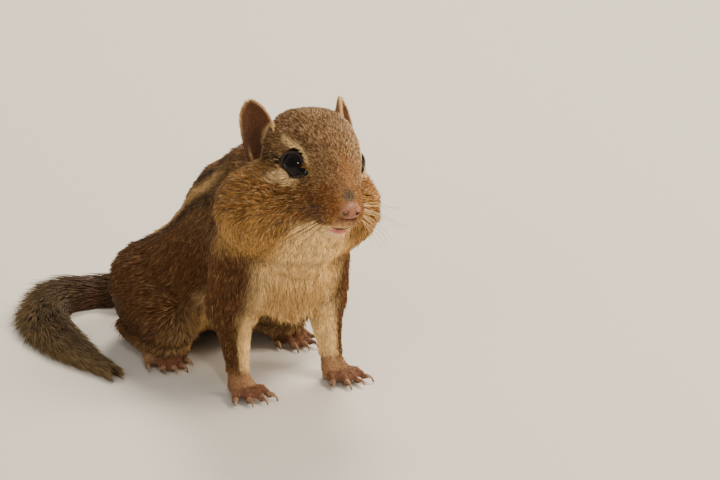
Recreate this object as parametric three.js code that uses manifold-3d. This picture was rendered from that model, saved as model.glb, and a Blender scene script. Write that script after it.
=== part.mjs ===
// An eastern chipmunk with full cheek pouches, life size, as a still model.
// It sits on its haunches with straight forelegs and a raised head, and its tail lies round its right side.
// Millimetres, +Z up. The animal faces -Y and its left side is +X.
// Every foot, the rump and the tail rest on Z = 0.
import * as THREE from "three";
import { mergeVertices } from "three/addons/utils/BufferGeometryUtils.js";
import Module from "manifold-3d";

const wasm = await Module();
wasm.setup();

// Driving sizes
const GAP = 0.3; // clearance between neighbouring parts
const BLEND = 5; // how softly one muscle mass flows into the next
const FILLET = 2.5; // how far a part may swell into the hollow where it meets another
const CUTTER_GROWTH = 0.38; // a little more than the gap, as a cutter's flat faces dip between its corners
const NOSE_TIP = -19.8; // along the head's own y axis, which runs backwards from between the eyes
const NOSE_DROP = -10.1; // the nose's middle, below the eyes
const EYE_RADIUS = 4.35;
const EYE_SPACING = 17.4; // between the centres of the eyes
const EYE_FORWARD = 1.5; // from the head's own origin
const EAR_HEIGHT = 13.8;
const EAR_HALF_WIDTH = 4.8;
const CHEST_SHIFT = 1.6; // the spine bends a little to the animal's left between the rump and the chest
const FORE_STANCE = 15.5; // each forefoot from the chest's middle
const HIND_STANCE = 18.5; // each hind foot from the midline
const TOE_RADIUS = 1.3;
const CLAW_LENGTH = 3;
const TAIL_CORE = 3.9; // radius of the tail without its hair, at the root
const TAIL_HAIR = 17; // length of a lock on the middle of the tail
const LOCK_PITCH = 10.4; // between rings of locks
const LOCKS_PER_RING = 5;
const LOCK_HALF_WIDTH = 3;
const LOCK_REACH = 0.86; // share of a lock's length that runs along the tail
const FLOOR_BITE = 0.25; // how much of a round part that rests on the floor is ground flat
const SIDES = { right: -1, left: 1 };

// Head: its own frame sits between the eyes, x to the animal's left, y backwards, z up
const HEAD = new THREE.Object3D();
HEAD.position.set(2.8, -57, 73.5);
HEAD.rotation.set(...[-3, 6, -2.5].map(THREE.MathUtils.degToRad), "ZXY");
HEAD.updateMatrixWorld(true);

const v3 = (x, y, z) => new THREE.Vector3(x, y, z);
const inHead = (x, y, z) => v3(x, y, z).applyMatrix4(HEAD.matrixWorld);
const headWay = (x, y, z) => v3(x, y, z).transformDirection(HEAD.matrixWorld);

// A seeded random number from 0 to 1
function randomFrom(seed) {
  let state = seed;
  return () => {
    state = (state * 1664525 + 1013904223) % 4294967296;
    return state / 4294967296;
  };
}

// Distance fields: each takes a point and gives a value below zero inside the form

// An ellipsoid with three radii, tilted about X by so many degrees, in the body's frame or the head's
function ellipsoid(centre, radii, tilt = 0, frame = null) {
  const placed = new THREE.Matrix4().makeRotationX(THREE.MathUtils.degToRad(tilt));
  placed.setPosition(...centre);
  if (frame) placed.premultiply(frame.matrixWorld);
  const back = placed.invert();
  const p = v3();
  return (point) => {
    p.copy(point).applyMatrix4(back);
    const scaled = Math.hypot(p.x / radii[0], p.y / radii[1], p.z / radii[2]);
    const slope = Math.hypot(p.x / radii[0] ** 2, p.y / radii[1] ** 2, p.z / radii[2] ** 2);
    return slope < 1e-9 ? -Math.min(...radii) : (scaled * (scaled - 1)) / slope;
  };
}

// A limb that tapers from one radius to another between two points
function limb(from, to, radiusFrom, radiusTo) {
  const start = v3(...from);
  const along = v3(...to).sub(start);
  const p = v3();
  return (point) => {
    p.copy(point).sub(start);
    const share = THREE.MathUtils.clamp(p.dot(along) / along.lengthSq(), 0, 1);
    return p.addScaledVector(along, -share).length() - THREE.MathUtils.lerp(radiusFrom, radiusTo, share);
  };
}

// Several fields run together, with a soft fillet of about k millimetres where they meet
function blended(k, fields) {
  return (point) =>
    fields.reduce((least, field) => {
      const value = field(point);
      const near = Math.max(k - Math.abs(least - value), 0) / k;
      return Math.min(least, value) - (near * near * k) / 4;
    }, Infinity);
}

// Meshes and solids

// A closed geometry as a solid, turned right side out if its faces point inwards
function solidOf(geometry) {
  const bare = geometry.clone();
  bare.deleteAttribute("normal");
  bare.deleteAttribute("uv");
  const merged = mergeVertices(bare, 1e-4);
  const vertProperties = new Float32Array(merged.attributes.position.array);
  const triVerts = new Uint32Array(merged.index.array);
  const solid = new wasm.Manifold(new wasm.Mesh({ numProp: 3, vertProperties, triVerts }));
  return solid.volume() > 0
    ? solid
    : new wasm.Manifold(new wasm.Mesh({ numProp: 3, vertProperties, triVerts: triVerts.reverse() }));
}

function geometryOf(solid) {
  const mesh = solid.getMesh();
  const geometry = new THREE.BufferGeometry();
  geometry.setAttribute("position", new THREE.BufferAttribute(new Float32Array(mesh.vertProperties), 3));
  geometry.setIndex(new THREE.BufferAttribute(new Uint32Array(mesh.triVerts), 1));
  geometry.computeVertexNormals();
  return geometry;
}

const joined = (solids) => solids.reduce((whole, solid) => whole.add(solid));
const cutBy = (solid, cutters) => cutters.reduce((left, cutter) => left.subtract(cutter), solid);

// The largest closed surface of a solid
function mainPiece(solid) {
  const pieces = solid.decompose();
  return pieces.reduce((best, piece) => (piece.volume() > best.volume() ? piece : best));
}

// A closed tube of rings: each ring is a list of points, and each end closes in one point
function ringsToSolid(firstPole, rings, lastPole) {
  const count = rings[0].length;
  const positions = [firstPole, ...rings.flat(), lastPole].flatMap((p) => [p.x, p.y, p.z]);
  const last = rings.length * count + 1;
  const faces = [];
  const at = (ring, i) => 1 + ring * count + (i % count);
  for (let i = 0; i < count; i++) {
    faces.push(0, at(0, i + 1), at(0, i));
    faces.push(last, at(rings.length - 1, i), at(rings.length - 1, i + 1));
    for (let ring = 0; ring < rings.length - 1; ring++) {
      faces.push(at(ring, i), at(ring, i + 1), at(ring + 1, i + 1));
      faces.push(at(ring, i), at(ring + 1, i + 1), at(ring + 1, i));
    }
  }
  const geometry = new THREE.BufferGeometry();
  geometry.setAttribute("position", new THREE.Float32BufferAttribute(positions, 3));
  geometry.setIndex(faces);
  return solidOf(geometry);
}

// Where a ray from inside a field first leaves it
function surfacePoint(field, origin, way, reach) {
  const step = 0.6;
  const p = v3();
  let inside = 0;
  let outside = reach;
  for (let t = step; t < reach; t += step) {
    if (field(p.copy(origin).addScaledVector(way, t)) > 0) {
      outside = t;
      break;
    }
    inside = t;
  }
  for (let i = 0; i < 14; i++) {
    const middle = (inside + outside) / 2;
    if (field(p.copy(origin).addScaledVector(way, middle)) > 0) outside = middle;
    else inside = middle;
  }
  return origin.clone().addScaledVector(way, inside);
}

// The skin of a field, found by rays from a spine of points: rings along it and a fan of rings round each end
function castSkin(field, spine, { stations, fan, segments, reach = 40 }) {
  const curve = new THREE.CatmullRomCurve3(spine.map((p) => (p.isVector3 ? p : v3(...p))));
  const rings = [];
  const ringFrom = (share, lean) => {
    const origin = curve.getPoint(share);
    const along = curve.getTangent(share);
    const side = v3(1, 0, 0).addScaledVector(along, -along.x).normalize();
    const up = side.clone().cross(along);
    return Array.from({ length: segments }, (_, i) => {
      const turn = (i / segments) * Math.PI * 2;
      const way = side.clone().multiplyScalar(Math.cos(turn)).addScaledVector(up, Math.sin(turn));
      way.multiplyScalar(Math.cos(lean)).addScaledVector(along, Math.sin(lean));
      return surfacePoint(field, origin, way, reach);
    });
  };
  for (let i = 1; i < fan; i++) rings.push(ringFrom(0, (-Math.PI / 2) * (1 - i / fan)));
  for (let i = 0; i <= stations; i++) rings.push(ringFrom(i / stations, 0));
  for (let i = 1; i < fan; i++) rings.push(ringFrom(1, (Math.PI / 2) * (i / fan)));
  const firstPole = surfacePoint(field, curve.getPoint(0), curve.getTangent(0).negate(), reach);
  const lastPole = surfacePoint(field, curve.getPoint(1), curve.getTangent(1), reach);
  return ringsToSolid(firstPole, rings, lastPole);
}

// A round or flat rod along a curve. radiusAt and flatness take the share of the way from 0 to 1.
function sweep(points, radiusAt, { steps, segments, turned = 0, flatness = () => 1, normal = v3(0, 0, 1) }) {
  const curve = new THREE.CatmullRomCurve3(points.map((p) => (p.isVector3 ? p : v3(...p))));
  const rings = [];
  for (let k = 0; k <= steps; k++) {
    const share = k / steps;
    const centre = curve.getPoint(share);
    const along = curve.getTangent(share);
    const side = along.clone().cross(normal).normalize();
    const thin = side.clone().cross(along);
    const radius = radiusAt(share);
    rings.push(
      Array.from({ length: segments }, (_, i) => {
        const turn = turned + (i / segments) * Math.PI * 2;
        return centre
          .clone()
          .addScaledVector(side, Math.cos(turn) * radius)
          .addScaledVector(thin, Math.sin(turn) * radius * flatness(share));
      }),
    );
  }
  const startBulge = radiusAt(0) * 0.6;
  const endBulge = radiusAt(1) * 0.8;
  const firstPole = curve.getPoint(0).addScaledVector(curve.getTangent(0), -startBulge);
  const lastPole = curve.getPoint(1).addScaledVector(curve.getTangent(1), endBulge);
  return ringsToSolid(firstPole, rings, lastPole);
}

// A big block whose top face is a plane through a point: everything on the far side of the plane's normal
function halfSpace(point, normal) {
  const size = 400;
  const block = new THREE.BoxGeometry(size, size, size);
  block.translate(0, 0, -size / 2);
  block.applyQuaternion(new THREE.Quaternion().setFromUnitVectors(v3(0, 0, 1), normal.clone().normalize()));
  block.translate(point.x, point.y, point.z);
  return solidOf(block);
}

const BELOW_FLOOR = halfSpace(v3(0, 0, 0), v3(0, 0, 1));

// Body masses, as fields. The back slopes down at BACK_SLOPE from the nape to the rump.
const BACK_SLOPE = -38;

const torsoField = blended(9, [
  ellipsoid([0, 20, 15.5], [18.5, 20, 15], BACK_SLOPE + 10),
  ellipsoid([0, 3, 26], [20, 23, 18], BACK_SLOPE),
  ellipsoid([CHEST_SHIFT * 0.6, -15.5, 43.5], [18.3, 22, 21], BACK_SLOPE),
  ellipsoid([CHEST_SHIFT, -40, 34], [12, 9.5, 13]),
]);

const neckField = blended(8, [
  ellipsoid([CHEST_SHIFT * 0.5, -28.5, 57.2], [16.8, 16.5, 15.6]),
  ellipsoid([CHEST_SHIFT, -47, 49], [15, 12, 12]),
]);

const headBones = [
  ellipsoid([0, 9.5, 0.5], [11.8, 16.5, 11.8], 0, HEAD),
  ellipsoid([-4.8, 6, 4], [5.8, 12, 8.6], 0, HEAD),
  ellipsoid([4.8, 6, 4], [5.8, 12, 8.6], 0, HEAD),
  ellipsoid([0, -3, -2], [8.6, 11.5, 9.6], -8, HEAD),
  ellipsoid([0, -10, -8.4], [5.6, 9.3, 5.9], 15, HEAD),
];
const whiskerPads = [-3.3, 3.3].map((x) => ellipsoid([x, -11.6, -12.6], [4, 5, 4.2], 10, HEAD));
const cheekPouches = [
  ellipsoid([-14.3, 12.5, -16.5], [11.6, 14.3, 12.2], 0, HEAD),
  ellipsoid([13.4, 12.5, -16.2], [11.2, 14.3, 12.2], 0, HEAD),
];
const throat = ellipsoid([0, 6, -16.8], [10, 12.3, 8.5], 0, HEAD);
const headField = blended(4.5, [blended(6, [...headBones, throat, ...cheekPouches]), ...whiskerPads]);

const hip = (s) => [s * 11, 20, 17];
const knee = (s) => [s * 19.5, -5, 13.5];
const ankle = (s) => [s * HIND_STANCE, 18, 5.5];
const shoulder = (s) => [CHEST_SHIFT + s * 11.5, -34, 43];
const elbow = (s) => [CHEST_SHIFT + s * 15, -32, 26];
const wrist = (s) => [CHEST_SHIFT + s * FORE_STANCE, -36.5, 7];

const thighMuscle = (s) => ellipsoid([s * 16, 11, 18.5], [9.5, 17, 12.5], 8);
const calfMuscle = (s) => ellipsoid([s * 19, 5, 9], [5.6, 12, 6.2], 12);
const armMuscle = (s) => ellipsoid([CHEST_SHIFT + s * 12.5, -34, 37], [8, 9.5, 12]);
const thighField = (s) => blended(8, [limb(hip(s), knee(s), 12, 7.5), thighMuscle(s)]);
const shankField = (s) => blended(3, [limb(knee(s), ankle(s), 7.4, 4.4), calfMuscle(s)]);
const upperArmField = (s) => blended(5, [limb(shoulder(s), elbow(s), 10, 7), armMuscle(s)]);
const forearmField = (s) => limb(elbow(s), wrist(s), 6.6, 3.3);

const bothSides = (make) => Object.values(SIDES).map(make);
const wholeBody = blended(BLEND, [
  torsoField,
  neckField,
  headField,
  ...bothSides(thighField),
  ...bothSides(shankField),
  ...bothSides(upperArmField),
  ...bothSides(forearmField),
]);

// One part of the body: its own field, let out to the common fillets, and a larger copy to cut its neighbours
function bodyPart(ownField, spine, options) {
  const field = (p) => Math.max(wholeBody(p), ownField(p) - FILLET);
  return {
    solid: castSkin(field, spine, options).subtract(BELOW_FLOOR),
    cutter: castSkin((p) => field(p) - CUTTER_GROWTH, spine, options),
  };
}

// Head with its parts

function eye(s) {
  const centre = inHead((s * EYE_SPACING) / 2, -EYE_FORWARD, 0);
  const way = headWay(s * 0.86, -0.48, 0.15);
  const ball = (radius) => {
    const geometry = new THREE.SphereGeometry(radius, 12, 8);
    geometry.applyQuaternion(new THREE.Quaternion().setFromUnitVectors(v3(0, 1, 0), way));
    geometry.translate(centre.x, centre.y, centre.z);
    return solidOf(geometry);
  };
  // The two lids are one almond ring, longest from the inner corner, low in front, to the outer one
  const lids = new THREE.TorusGeometry(EYE_RADIUS * 0.86, 0.75, 5, 20);
  lids.scale(1.08, 0.96, 1);
  const front = headWay(0, -1, -0.45);
  const across = front.clone().addScaledVector(way, -front.dot(way)).normalize();
  const basis = new THREE.Matrix4().makeBasis(across, way.clone().cross(across), way);
  lids.applyMatrix4(basis);
  const lidCentre = centre.clone().addScaledVector(way, EYE_RADIUS * 0.42);
  lids.translate(lidCentre.x, lidCentre.y, lidCentre.z);
  return { solid: ball(EYE_RADIUS), cutter: ball(EYE_RADIUS + GAP), lids: solidOf(lids) };
}

function nose() {
  const pad = blended(1.5, [
    ellipsoid([0, NOSE_TIP + 2.3, NOSE_DROP], [3.1, 2.5, 2.7], 0, HEAD),
    ...bothSides((s) => ellipsoid([s * 1.6, NOSE_TIP + 2.5, NOSE_DROP - 0.6], [2, 2.1, 2], 0, HEAD)),
  ]);
  const spine = [inHead(0, NOSE_TIP + 3.5, NOSE_DROP - 0.3), inHead(0, NOSE_TIP + 1.9, NOSE_DROP - 0.4)];
  const rays = { stations: 1, fan: 4, segments: 12, reach: 6 };
  const build = (grow) => castSkin((p) => pad(p) - grow, spine, rays);
  const nostrils = bothSides((s) => {
    const route = [
      inHead(s * 1.3, NOSE_TIP - 0.5, NOSE_DROP - 1.3),
      inHead(s * 2, NOSE_TIP + 1.2, NOSE_DROP - 0.7),
      inHead(s * 3.7, NOSE_TIP + 2.3, NOSE_DROP - 0.3),
    ];
    return sweep(route, () => 0.6, { steps: 3, segments: 5 });
  });
  return { solid: mainPiece(cutBy(build(0), nostrils)), cutter: build(GAP) };
}

function jaw() {
  const chin = blended(2, [
    ellipsoid([0, -6, -18], [4.5, 7.4, 2.9], -6, HEAD),
    ellipsoid([0, -10.6, -17.7], [2.9, 3.1, 2], 0, HEAD),
  ]);
  const spine = [inHead(0, -2.5, -18), inHead(0, -10, -17.7)];
  const rays = { stations: 4, fan: 4, segments: 10, reach: 12 };
  const build = (grow) => castSkin((p) => chin(p) - grow, spine, rays);
  return { solid: build(0), cutter: build(GAP) };
}

// The groove under the nose
function philtrum() {
  const route = [
    inHead(0, NOSE_TIP + 3, NOSE_DROP - 2.6),
    inHead(0, NOSE_TIP + 3.8, NOSE_DROP - 4.2),
    inHead(0, NOSE_TIP + 6.5, NOSE_DROP - 5.8),
  ];
  return sweep(route, () => 0.45, { steps: 4, segments: 5 });
}

// A thin cupped ear: root is its centre on the head, tip its point, and open is the way its hollow faces
function ear({ root, tip, open, lean }) {
  const up = tip.clone().sub(root).normalize();
  const facing = open.clone().addScaledVector(up, -open.dot(up)).normalize();
  const across = up.clone().cross(facing);
  const rows = 7;
  const columns = 6;
  const sunk = -0.18; // share of the height that is below the head's skin
  const pointAt = (row, column, back) => {
    const u = THREE.MathUtils.lerp(sunk, 1, row / rows);
    const rise = Math.max(u, 0);
    const narrowing = Math.sqrt(Math.max(1 - rise ** 3.4, 0.04));
    const halfWidth = EAR_HALF_WIDTH * narrowing * (0.92 + 0.14 * rise);
    const wrap = THREE.MathUtils.degToRad(THREE.MathUtils.lerp(105, 42, rise));
    const place = (column / columns) * 2 - 1;
    const v = place * wrap;
    const radius = halfWidth / Math.sin(Math.min(wrap, Math.PI / 2));
    const thickness = THREE.MathUtils.lerp(1.3, 0.6, rise) * (1 - 0.25 * Math.abs(place));
    const r = radius + (back ? thickness : 0);
    return root
      .clone()
      .addScaledVector(up, u * EAR_HEIGHT)
      .addScaledVector(across, r * Math.sin(v) + lean * rise * rise)
      .addScaledVector(facing, radius - r * Math.cos(v) - 1.6 * rise * rise + 0.5);
  };
  const positions = [];
  const index = (row, column, back) => (row * (columns + 1) + column) * 2 + (back ? 1 : 0);
  for (let row = 0; row <= rows; row++) {
    for (let column = 0; column <= columns; column++) {
      for (const back of [false, true]) {
        const p = pointAt(row, column, back);
        positions.push(p.x, p.y, p.z);
      }
    }
  }
  const faces = [];
  const quad = (a, b, c, d) => faces.push(a, b, c, a, c, d);
  for (let row = 0; row < rows; row++) {
    for (let column = 0; column < columns; column++) {
      const corners = (back) => [
        index(row, column, back),
        index(row, column + 1, back),
        index(row + 1, column + 1, back),
        index(row + 1, column, back),
      ];
      quad(...corners(false));
      quad(...corners(true).reverse());
    }
    quad(index(row, 0, false), index(row + 1, 0, false), index(row + 1, 0, true), index(row, 0, true));
    const last = (r, back) => index(r, columns, back);
    quad(last(row, true), last(row + 1, true), last(row + 1, false), last(row, false));
  }
  for (let column = 0; column < columns; column++) {
    const low = (c, back) => index(0, c, back);
    const high = (c, back) => index(rows, c, back);
    quad(low(column, true), low(column + 1, true), low(column + 1, false), low(column, false));
    quad(high(column, false), high(column + 1, false), high(column + 1, true), high(column, true));
  }
  const geometry = new THREE.BufferGeometry();
  geometry.setAttribute("position", new THREE.Float32BufferAttribute(positions, 3));
  geometry.setIndex(faces);
  return solidOf(geometry);
}

// Feet

// One toe from its root on the foot to the floor, with its curved claw
function toe(root, heading, length, lift) {
  const knuckle = root.clone().addScaledVector(heading, length * 0.45).setZ(root.z + lift);
  const tip = root.clone().addScaledVector(heading, length).setZ(TOE_RADIUS - 0.15);
  const start = root.clone().addScaledVector(heading, -2.2);
  const waisted = (share) => 1.12 - 0.22 * Math.sin(share * Math.PI) * share;
  const radiusAt = (share) => TOE_RADIUS * waisted(share) * (share > 0.9 ? 0.86 : 1);
  const digit = sweep([start, root, knuckle, tip], radiusAt, { steps: 3, segments: 5 });
  const clawRoot = tip.clone().addScaledVector(heading, 0.2).setZ(tip.z + 0.5);
  const clawTop = clawRoot.clone().addScaledVector(heading, CLAW_LENGTH * 0.62).setZ(clawRoot.z + 0.15);
  const clawTip = clawRoot.clone().addScaledVector(heading, CLAW_LENGTH).setZ(0.3);
  const clawRadius = (share) => 0.72 * (1 - share) + 0.14;
  const claw = sweep([clawRoot, clawTop, clawTip], clawRadius, { steps: 2, segments: 4 });
  return digit.add(claw);
}

// A row of toes fanned out from the front of a palm or sole
function toes(front, heading, count, spread, width, length, lift) {
  return Array.from({ length: count }, (_, i) => {
    const place = (i / (count - 1)) * 2 - 1;
    const turn = THREE.MathUtils.degToRad(place * spread);
    const way = heading.clone().applyAxisAngle(v3(0, 0, 1), turn);
    const across = heading.clone().cross(v3(0, 0, 1)).negate();
    const back = count === 5 ? 3.4 * place ** 4 : 1.1 * place ** 2;
    const root = front.clone().addScaledVector(across, place * width).addScaledVector(heading, -back);
    return toe(root, way, length * (1 - 0.12 * place ** 2), lift);
  });
}

function forepaw(s) {
  const heading = v3(s * 0.05, -1, 0).normalize();
  const palm = v3(...wrist(s)).addScaledVector(heading, 2.6).setZ(2.6);
  const top = v3(...wrist(s)).setZ(5.6);
  const field = blended(2, [
    ellipsoid([palm.x, palm.y, palm.z], [4, 4.6, 2.7]),
    limb([top.x, top.y, top.z], [palm.x, palm.y, palm.z], 3.2, 2.9),
  ]);
  const hand = castSkin(field, [top, palm], { stations: 3, fan: 3, segments: 10, reach: 8 });
  const front = palm.clone().addScaledVector(heading, 3.1).setZ(2.4);
  const thumb = sweep(
    [palm.clone().add(v3(-s * 2.6, 0.4, -0.4)), palm.clone().add(v3(-s * 4.6, -0.8, -1.2))],
    (share) => 1.2 - 0.3 * share,
    { steps: 2, segments: 6 },
  );
  const whole = joined([hand, thumb, ...toes(front, heading, 4, 24, 3.3, 6.2, 0.9)]);
  return mainPiece(whole.subtract(BELOW_FLOOR));
}

function hindfoot(s) {
  const heading = v3(s * 0.1, -1, 0).normalize();
  const heel = v3(...ankle(s)).add(v3(0, 3, 0)).setZ(3.6);
  const ball = heel.clone().addScaledVector(heading, 23).setZ(2.6);
  const field = blended(3, [
    limb([heel.x, heel.y, heel.z], [ball.x, ball.y, ball.z], 3.7, 3),
    ellipsoid([ball.x, ball.y, ball.z], [4.9, 4.6, 2.8]),
  ]);
  const sole = castSkin(field, [heel, ball], { stations: 5, fan: 3, segments: 10, reach: 9 });
  const front = ball.clone().addScaledVector(heading, 2.6).setZ(2.4);
  const whole = joined([sole, ...toes(front, heading, 5, 17, 4.1, 7.4, 0.8)]);
  return mainPiece(whole.subtract(BELOW_FLOOR));
}

// Tail

// The tail leaves the rump, turns round the animal's right side and lies on the floor
const TAIL_ROOT = [
  [0, 36, 10],
  [-1.5, 46, 6.5],
];
const TAIL_TURN = [
  [-8, 54.5],
  [-19, 57],
  [-29, 51.5],
  [-35.5, 41],
  [-39, 28],
  [-40, 14.5],
  [-39.5, 1],
];
const coreRadius = (share) => TAIL_CORE * (1 - 0.5 * share);
const tailCurve = new THREE.CatmullRomCurve3([
  ...TAIL_ROOT.map((p) => v3(...p)),
  ...TAIL_TURN.map(([x, y], i) => v3(x, y, coreRadius((i + 2) / (TAIL_TURN.length + 1)) - FLOOR_BITE)),
]);
const TAIL_LENGTH = tailCurve.getLength();

// The tail's axis so many millimetres from its root, carried straight on past the tip
function tailFrame(distance) {
  const share = THREE.MathUtils.clamp(distance / TAIL_LENGTH, 0, 1);
  const along = tailCurve.getTangentAt(share);
  const centre = tailCurve.getPointAt(share).addScaledVector(along, Math.max(distance - TAIL_LENGTH, 0));
  const side = along.clone().cross(v3(0, 0, 1)).normalize();
  const up = side.clone().cross(along);
  return { centre, side, up };
}

// How far a lock stands off the axis at a share t of its way: steep at its root, then nearly along the tail
function lockRise(core, length, t) {
  const knees = [core * 0.35, core + length * 0.16, core + length * 0.3, core + length * 0.33];
  const step = Math.min(Math.floor(t * 3), 2);
  return THREE.MathUtils.lerp(knees[step], knees[step + 1], t * 3 - step);
}

// One flat, tapered lock of hair that leans back along the tail and bends down at its tip
function tailLock(distance, around, length, sway) {
  const steps = 3;
  const outwardAt = ({ side, up }) =>
    side.clone().multiplyScalar(Math.cos(around)).addScaledVector(up, Math.sin(around)).normalize();
  const route = Array.from({ length: steps + 1 }, (_, i) => {
    const t = i / steps;
    const frame = tailFrame(distance + t * length * LOCK_REACH);
    const rise = lockRise(coreRadius(distance / TAIL_LENGTH), length, t);
    return frame.centre.addScaledVector(outwardAt(frame), rise).add(v3(0, 0, sway * t));
  });
  const width = (t) => LOCK_HALF_WIDTH * Math.sin(Math.PI * (0.26 + 0.72 * t)) ** 0.8 + 0.12;
  const normal = outwardAt(tailFrame(distance + length * 0.4));
  const flatness = (t) => 0.36 + 0.25 * t;
  return sweep(route, width, { steps, segments: 3, turned: Math.PI / 2, flatness, normal });
}

// The tail past a distance: a cone that opens at the locks' own slope and passes between two rings
function tailPast(distance, grow) {
  const length = TAIL_HAIR;
  const clear = 12; // past the overhanging locks the cone is as wide as this
  const step = 2.5;
  const count = Math.ceil((TAIL_LENGTH + 25 - distance) / step);
  const points = Array.from({ length: count + 1 }, (_, i) => tailFrame(distance + i * step).centre);
  const core = coreRadius(distance / TAIL_LENGTH);
  const radiusAt = (share) => {
    const t = (share * count * step) / (length * LOCK_REACH);
    return grow + (t < 0.95 ? lockRise(core, length, t) : clear);
  };
  return sweep(points, radiusAt, { steps: count, segments: 14 });
}

// A length of the tail between two distances, with its rings of locks
function tailPart(from, to, seed) {
  const random = randomFrom(seed);
  const steps = 7;
  const distanceAt = (t) => THREE.MathUtils.lerp(from, to, t);
  const points = Array.from({ length: steps + 1 }, (_, i) => tailFrame(distanceAt(i / steps)).centre);
  const core = sweep(points, (t) => coreRadius(distanceAt(t) / TAIL_LENGTH), { steps, segments: 10 });
  const locks = [];
  const rings = Math.round((to - from) / LOCK_PITCH);
  for (let ring = 0; ring < rings; ring++) {
    const distance = distanceAt((ring + 0.5) / rings);
    const fullness = 0.62 + 0.38 * Math.sin(Math.PI * Math.min((distance / TAIL_LENGTH) * 1.15 + 0.12, 1));
    for (let i = 0; i < LOCKS_PER_RING; i++) {
      const place = (i + (ring % 2 ? 0.75 : 0.25)) / LOCKS_PER_RING;
      const around = THREE.MathUtils.degToRad(-8 + 196 * place + (random() - 0.5) * 8);
      const lockLength = TAIL_HAIR * fullness * (0.9 + 0.2 * random());
      locks.push(tailLock(distance, around, lockLength, (random() - 0.5) * 1.2));
    }
  }
  return joined([core, ...locks]);
}

// Assembly

const COLOURS = {
  crown: 0x7e5a3a,
  muzzle: 0x8a5d38,
  chin: 0xe2cba8,
  nose: 0xa4685a,
  eye: 0x0b0806,
  ear: 0x6e4a32,
  nape: 0x74502f,
  flank: 0x7a5230,
  rump: 0x8a4f26,
  foreleg: 0x9c7346,
  hindleg: 0x86562c,
  paw: 0xa87556,
  tail: 0x4a3322,
};
const finish = (colour, roughness = 0.85) =>
  new THREE.MeshStandardMaterial({ color: COLOURS[colour], roughness, metalness: 0 });

const animal = new THREE.Group();
const headGroup = new THREE.Group();
headGroup.position.copy(HEAD.position);
headGroup.rotation.copy(HEAD.rotation);
headGroup.updateMatrixWorld(true);
animal.add(headGroup);

function addNode(name, solid, material, group = animal) {
  const geometry = geometryOf(mainPiece(solid));
  geometry.applyMatrix4(group.matrixWorld.clone().invert());
  const mesh = new THREE.Mesh(geometry, material);
  mesh.name = name;
  group.add(mesh);
}

// The trunk is cast whole and parted behind the ribs
const trunk = bodyPart(torsoField, [[0, 22, 14], [0, 4, 25], [0, -18, 39], [CHEST_SHIFT, -30, 46]], {
  stations: 12,
  fan: 4,
  segments: 24,
});
const waist = v3(0, 2, 27);
const slope = THREE.MathUtils.degToRad(BACK_SLOPE);
const bodyAxis = v3(0, -Math.cos(slope), -Math.sin(slope));
const behindWaist = halfSpace(waist.clone().addScaledVector(bodyAxis, GAP / 2), bodyAxis);
const beforeWaist = halfSpace(waist.clone().addScaledVector(bodyAxis, -GAP / 2), bodyAxis.clone().negate());

const headSpine = [inHead(0, 16, -4), inHead(0, 5, -5.5), inHead(0, -4, -7), inHead(0, -11.5, -9)];
const head = bodyPart(headField, headSpine, {
  stations: 16,
  fan: 5,
  segments: 32,
});
const neckSpine = [[0, -26, 55], [CHEST_SHIFT, -44, 53]];
const neck = bodyPart(neckField, neckSpine, { stations: 4, fan: 3, segments: 16 });

const eyes = { right: eye(SIDES.right), left: eye(SIDES.left) };
const noseTip = nose();
const lowerJaw = jaw();
const headWithLids = joined([head.solid, eyes.right.lids, eyes.left.lids]);
const headCuts = [eyes.right.cutter, eyes.left.cutter, noseTip.cutter, lowerJaw.cutter, philtrum()];
addNode("head", cutBy(headWithLids, headCuts), finish("crown"), headGroup);
addNode("nose", noseTip.solid, finish("nose", 0.5), headGroup);
addNode("jaw", lowerJaw.solid, finish("chin"), headGroup);

const EAR_PLACES = {
  right: {
    root: inHead(-10.6, 14, 1.6),
    tip: inHead(-14.4, 17, 14.5),
    open: headWay(-0.72, -0.68, 0.1),
    lean: -2,
  },
  left: {
    root: inHead(9.6, 14, 1.6),
    tip: inHead(14, 17, 14.5),
    open: headWay(0.72, -0.68, 0.1),
    lean: 1.6,
  },
};
for (const side of Object.keys(SIDES)) {
  addNode(`eye_${side}`, eyes[side].solid, finish("eye", 0.08), headGroup);
  addNode(`ear_${side}`, cutBy(ear(EAR_PLACES[side]), [head.cutter]), finish("ear"), headGroup);
}

addNode("torso", cutBy(trunk.solid, [behindWaist, head.cutter, lowerJaw.cutter]), finish("flank"));
addNode("neck", cutBy(neck.solid, [head.cutter, trunk.cutter, lowerJaw.cutter]), finish("nape"));

const trunkCutter = trunk.cutter;
const limbCutters = [trunkCutter, neck.cutter, head.cutter];
for (const [side, s] of Object.entries(SIDES)) {
  const thighSpine = [hip(s), [s * 16, 9, 16], knee(s)];
  const armRays = { stations: 5, fan: 3, segments: 16, reach: 20 };
  const slimRays = { stations: 6, fan: 3, segments: 10, reach: 16 };
  const thigh = bodyPart(thighField(s), thighSpine, { stations: 6, fan: 4, segments: 16 });
  const shank = bodyPart(shankField(s), [knee(s), ankle(s)], slimRays);
  const upperArm = bodyPart(upperArmField(s), [shoulder(s), elbow(s)], armRays);
  const forearm = bodyPart(forearmField(s), [elbow(s), wrist(s)], slimRays);
  const foot = hindfoot(s);
  const paw = forepaw(s);
  const footCutters = [thigh.cutter, shank.cutter, trunkCutter];
  addNode(`thigh_${side}`, cutBy(thigh.solid, [trunkCutter]), finish("hindleg"));
  addNode(`shank_${side}`, cutBy(shank.solid, [thigh.cutter, trunkCutter]), finish("hindleg"));
  addNode(`hindfoot_${side}`, cutBy(foot, footCutters), finish("paw", 0.7));
  addNode(`upper_arm_${side}`, cutBy(upperArm.solid, limbCutters), finish("foreleg"));
  addNode(`forearm_${side}`, cutBy(forearm.solid, [upperArm.cutter, ...limbCutters]), finish("foreleg"));
  addNode(`forepaw_${side}`, cutBy(paw, [forearm.cutter]), finish("paw", 0.7));
}
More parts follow.
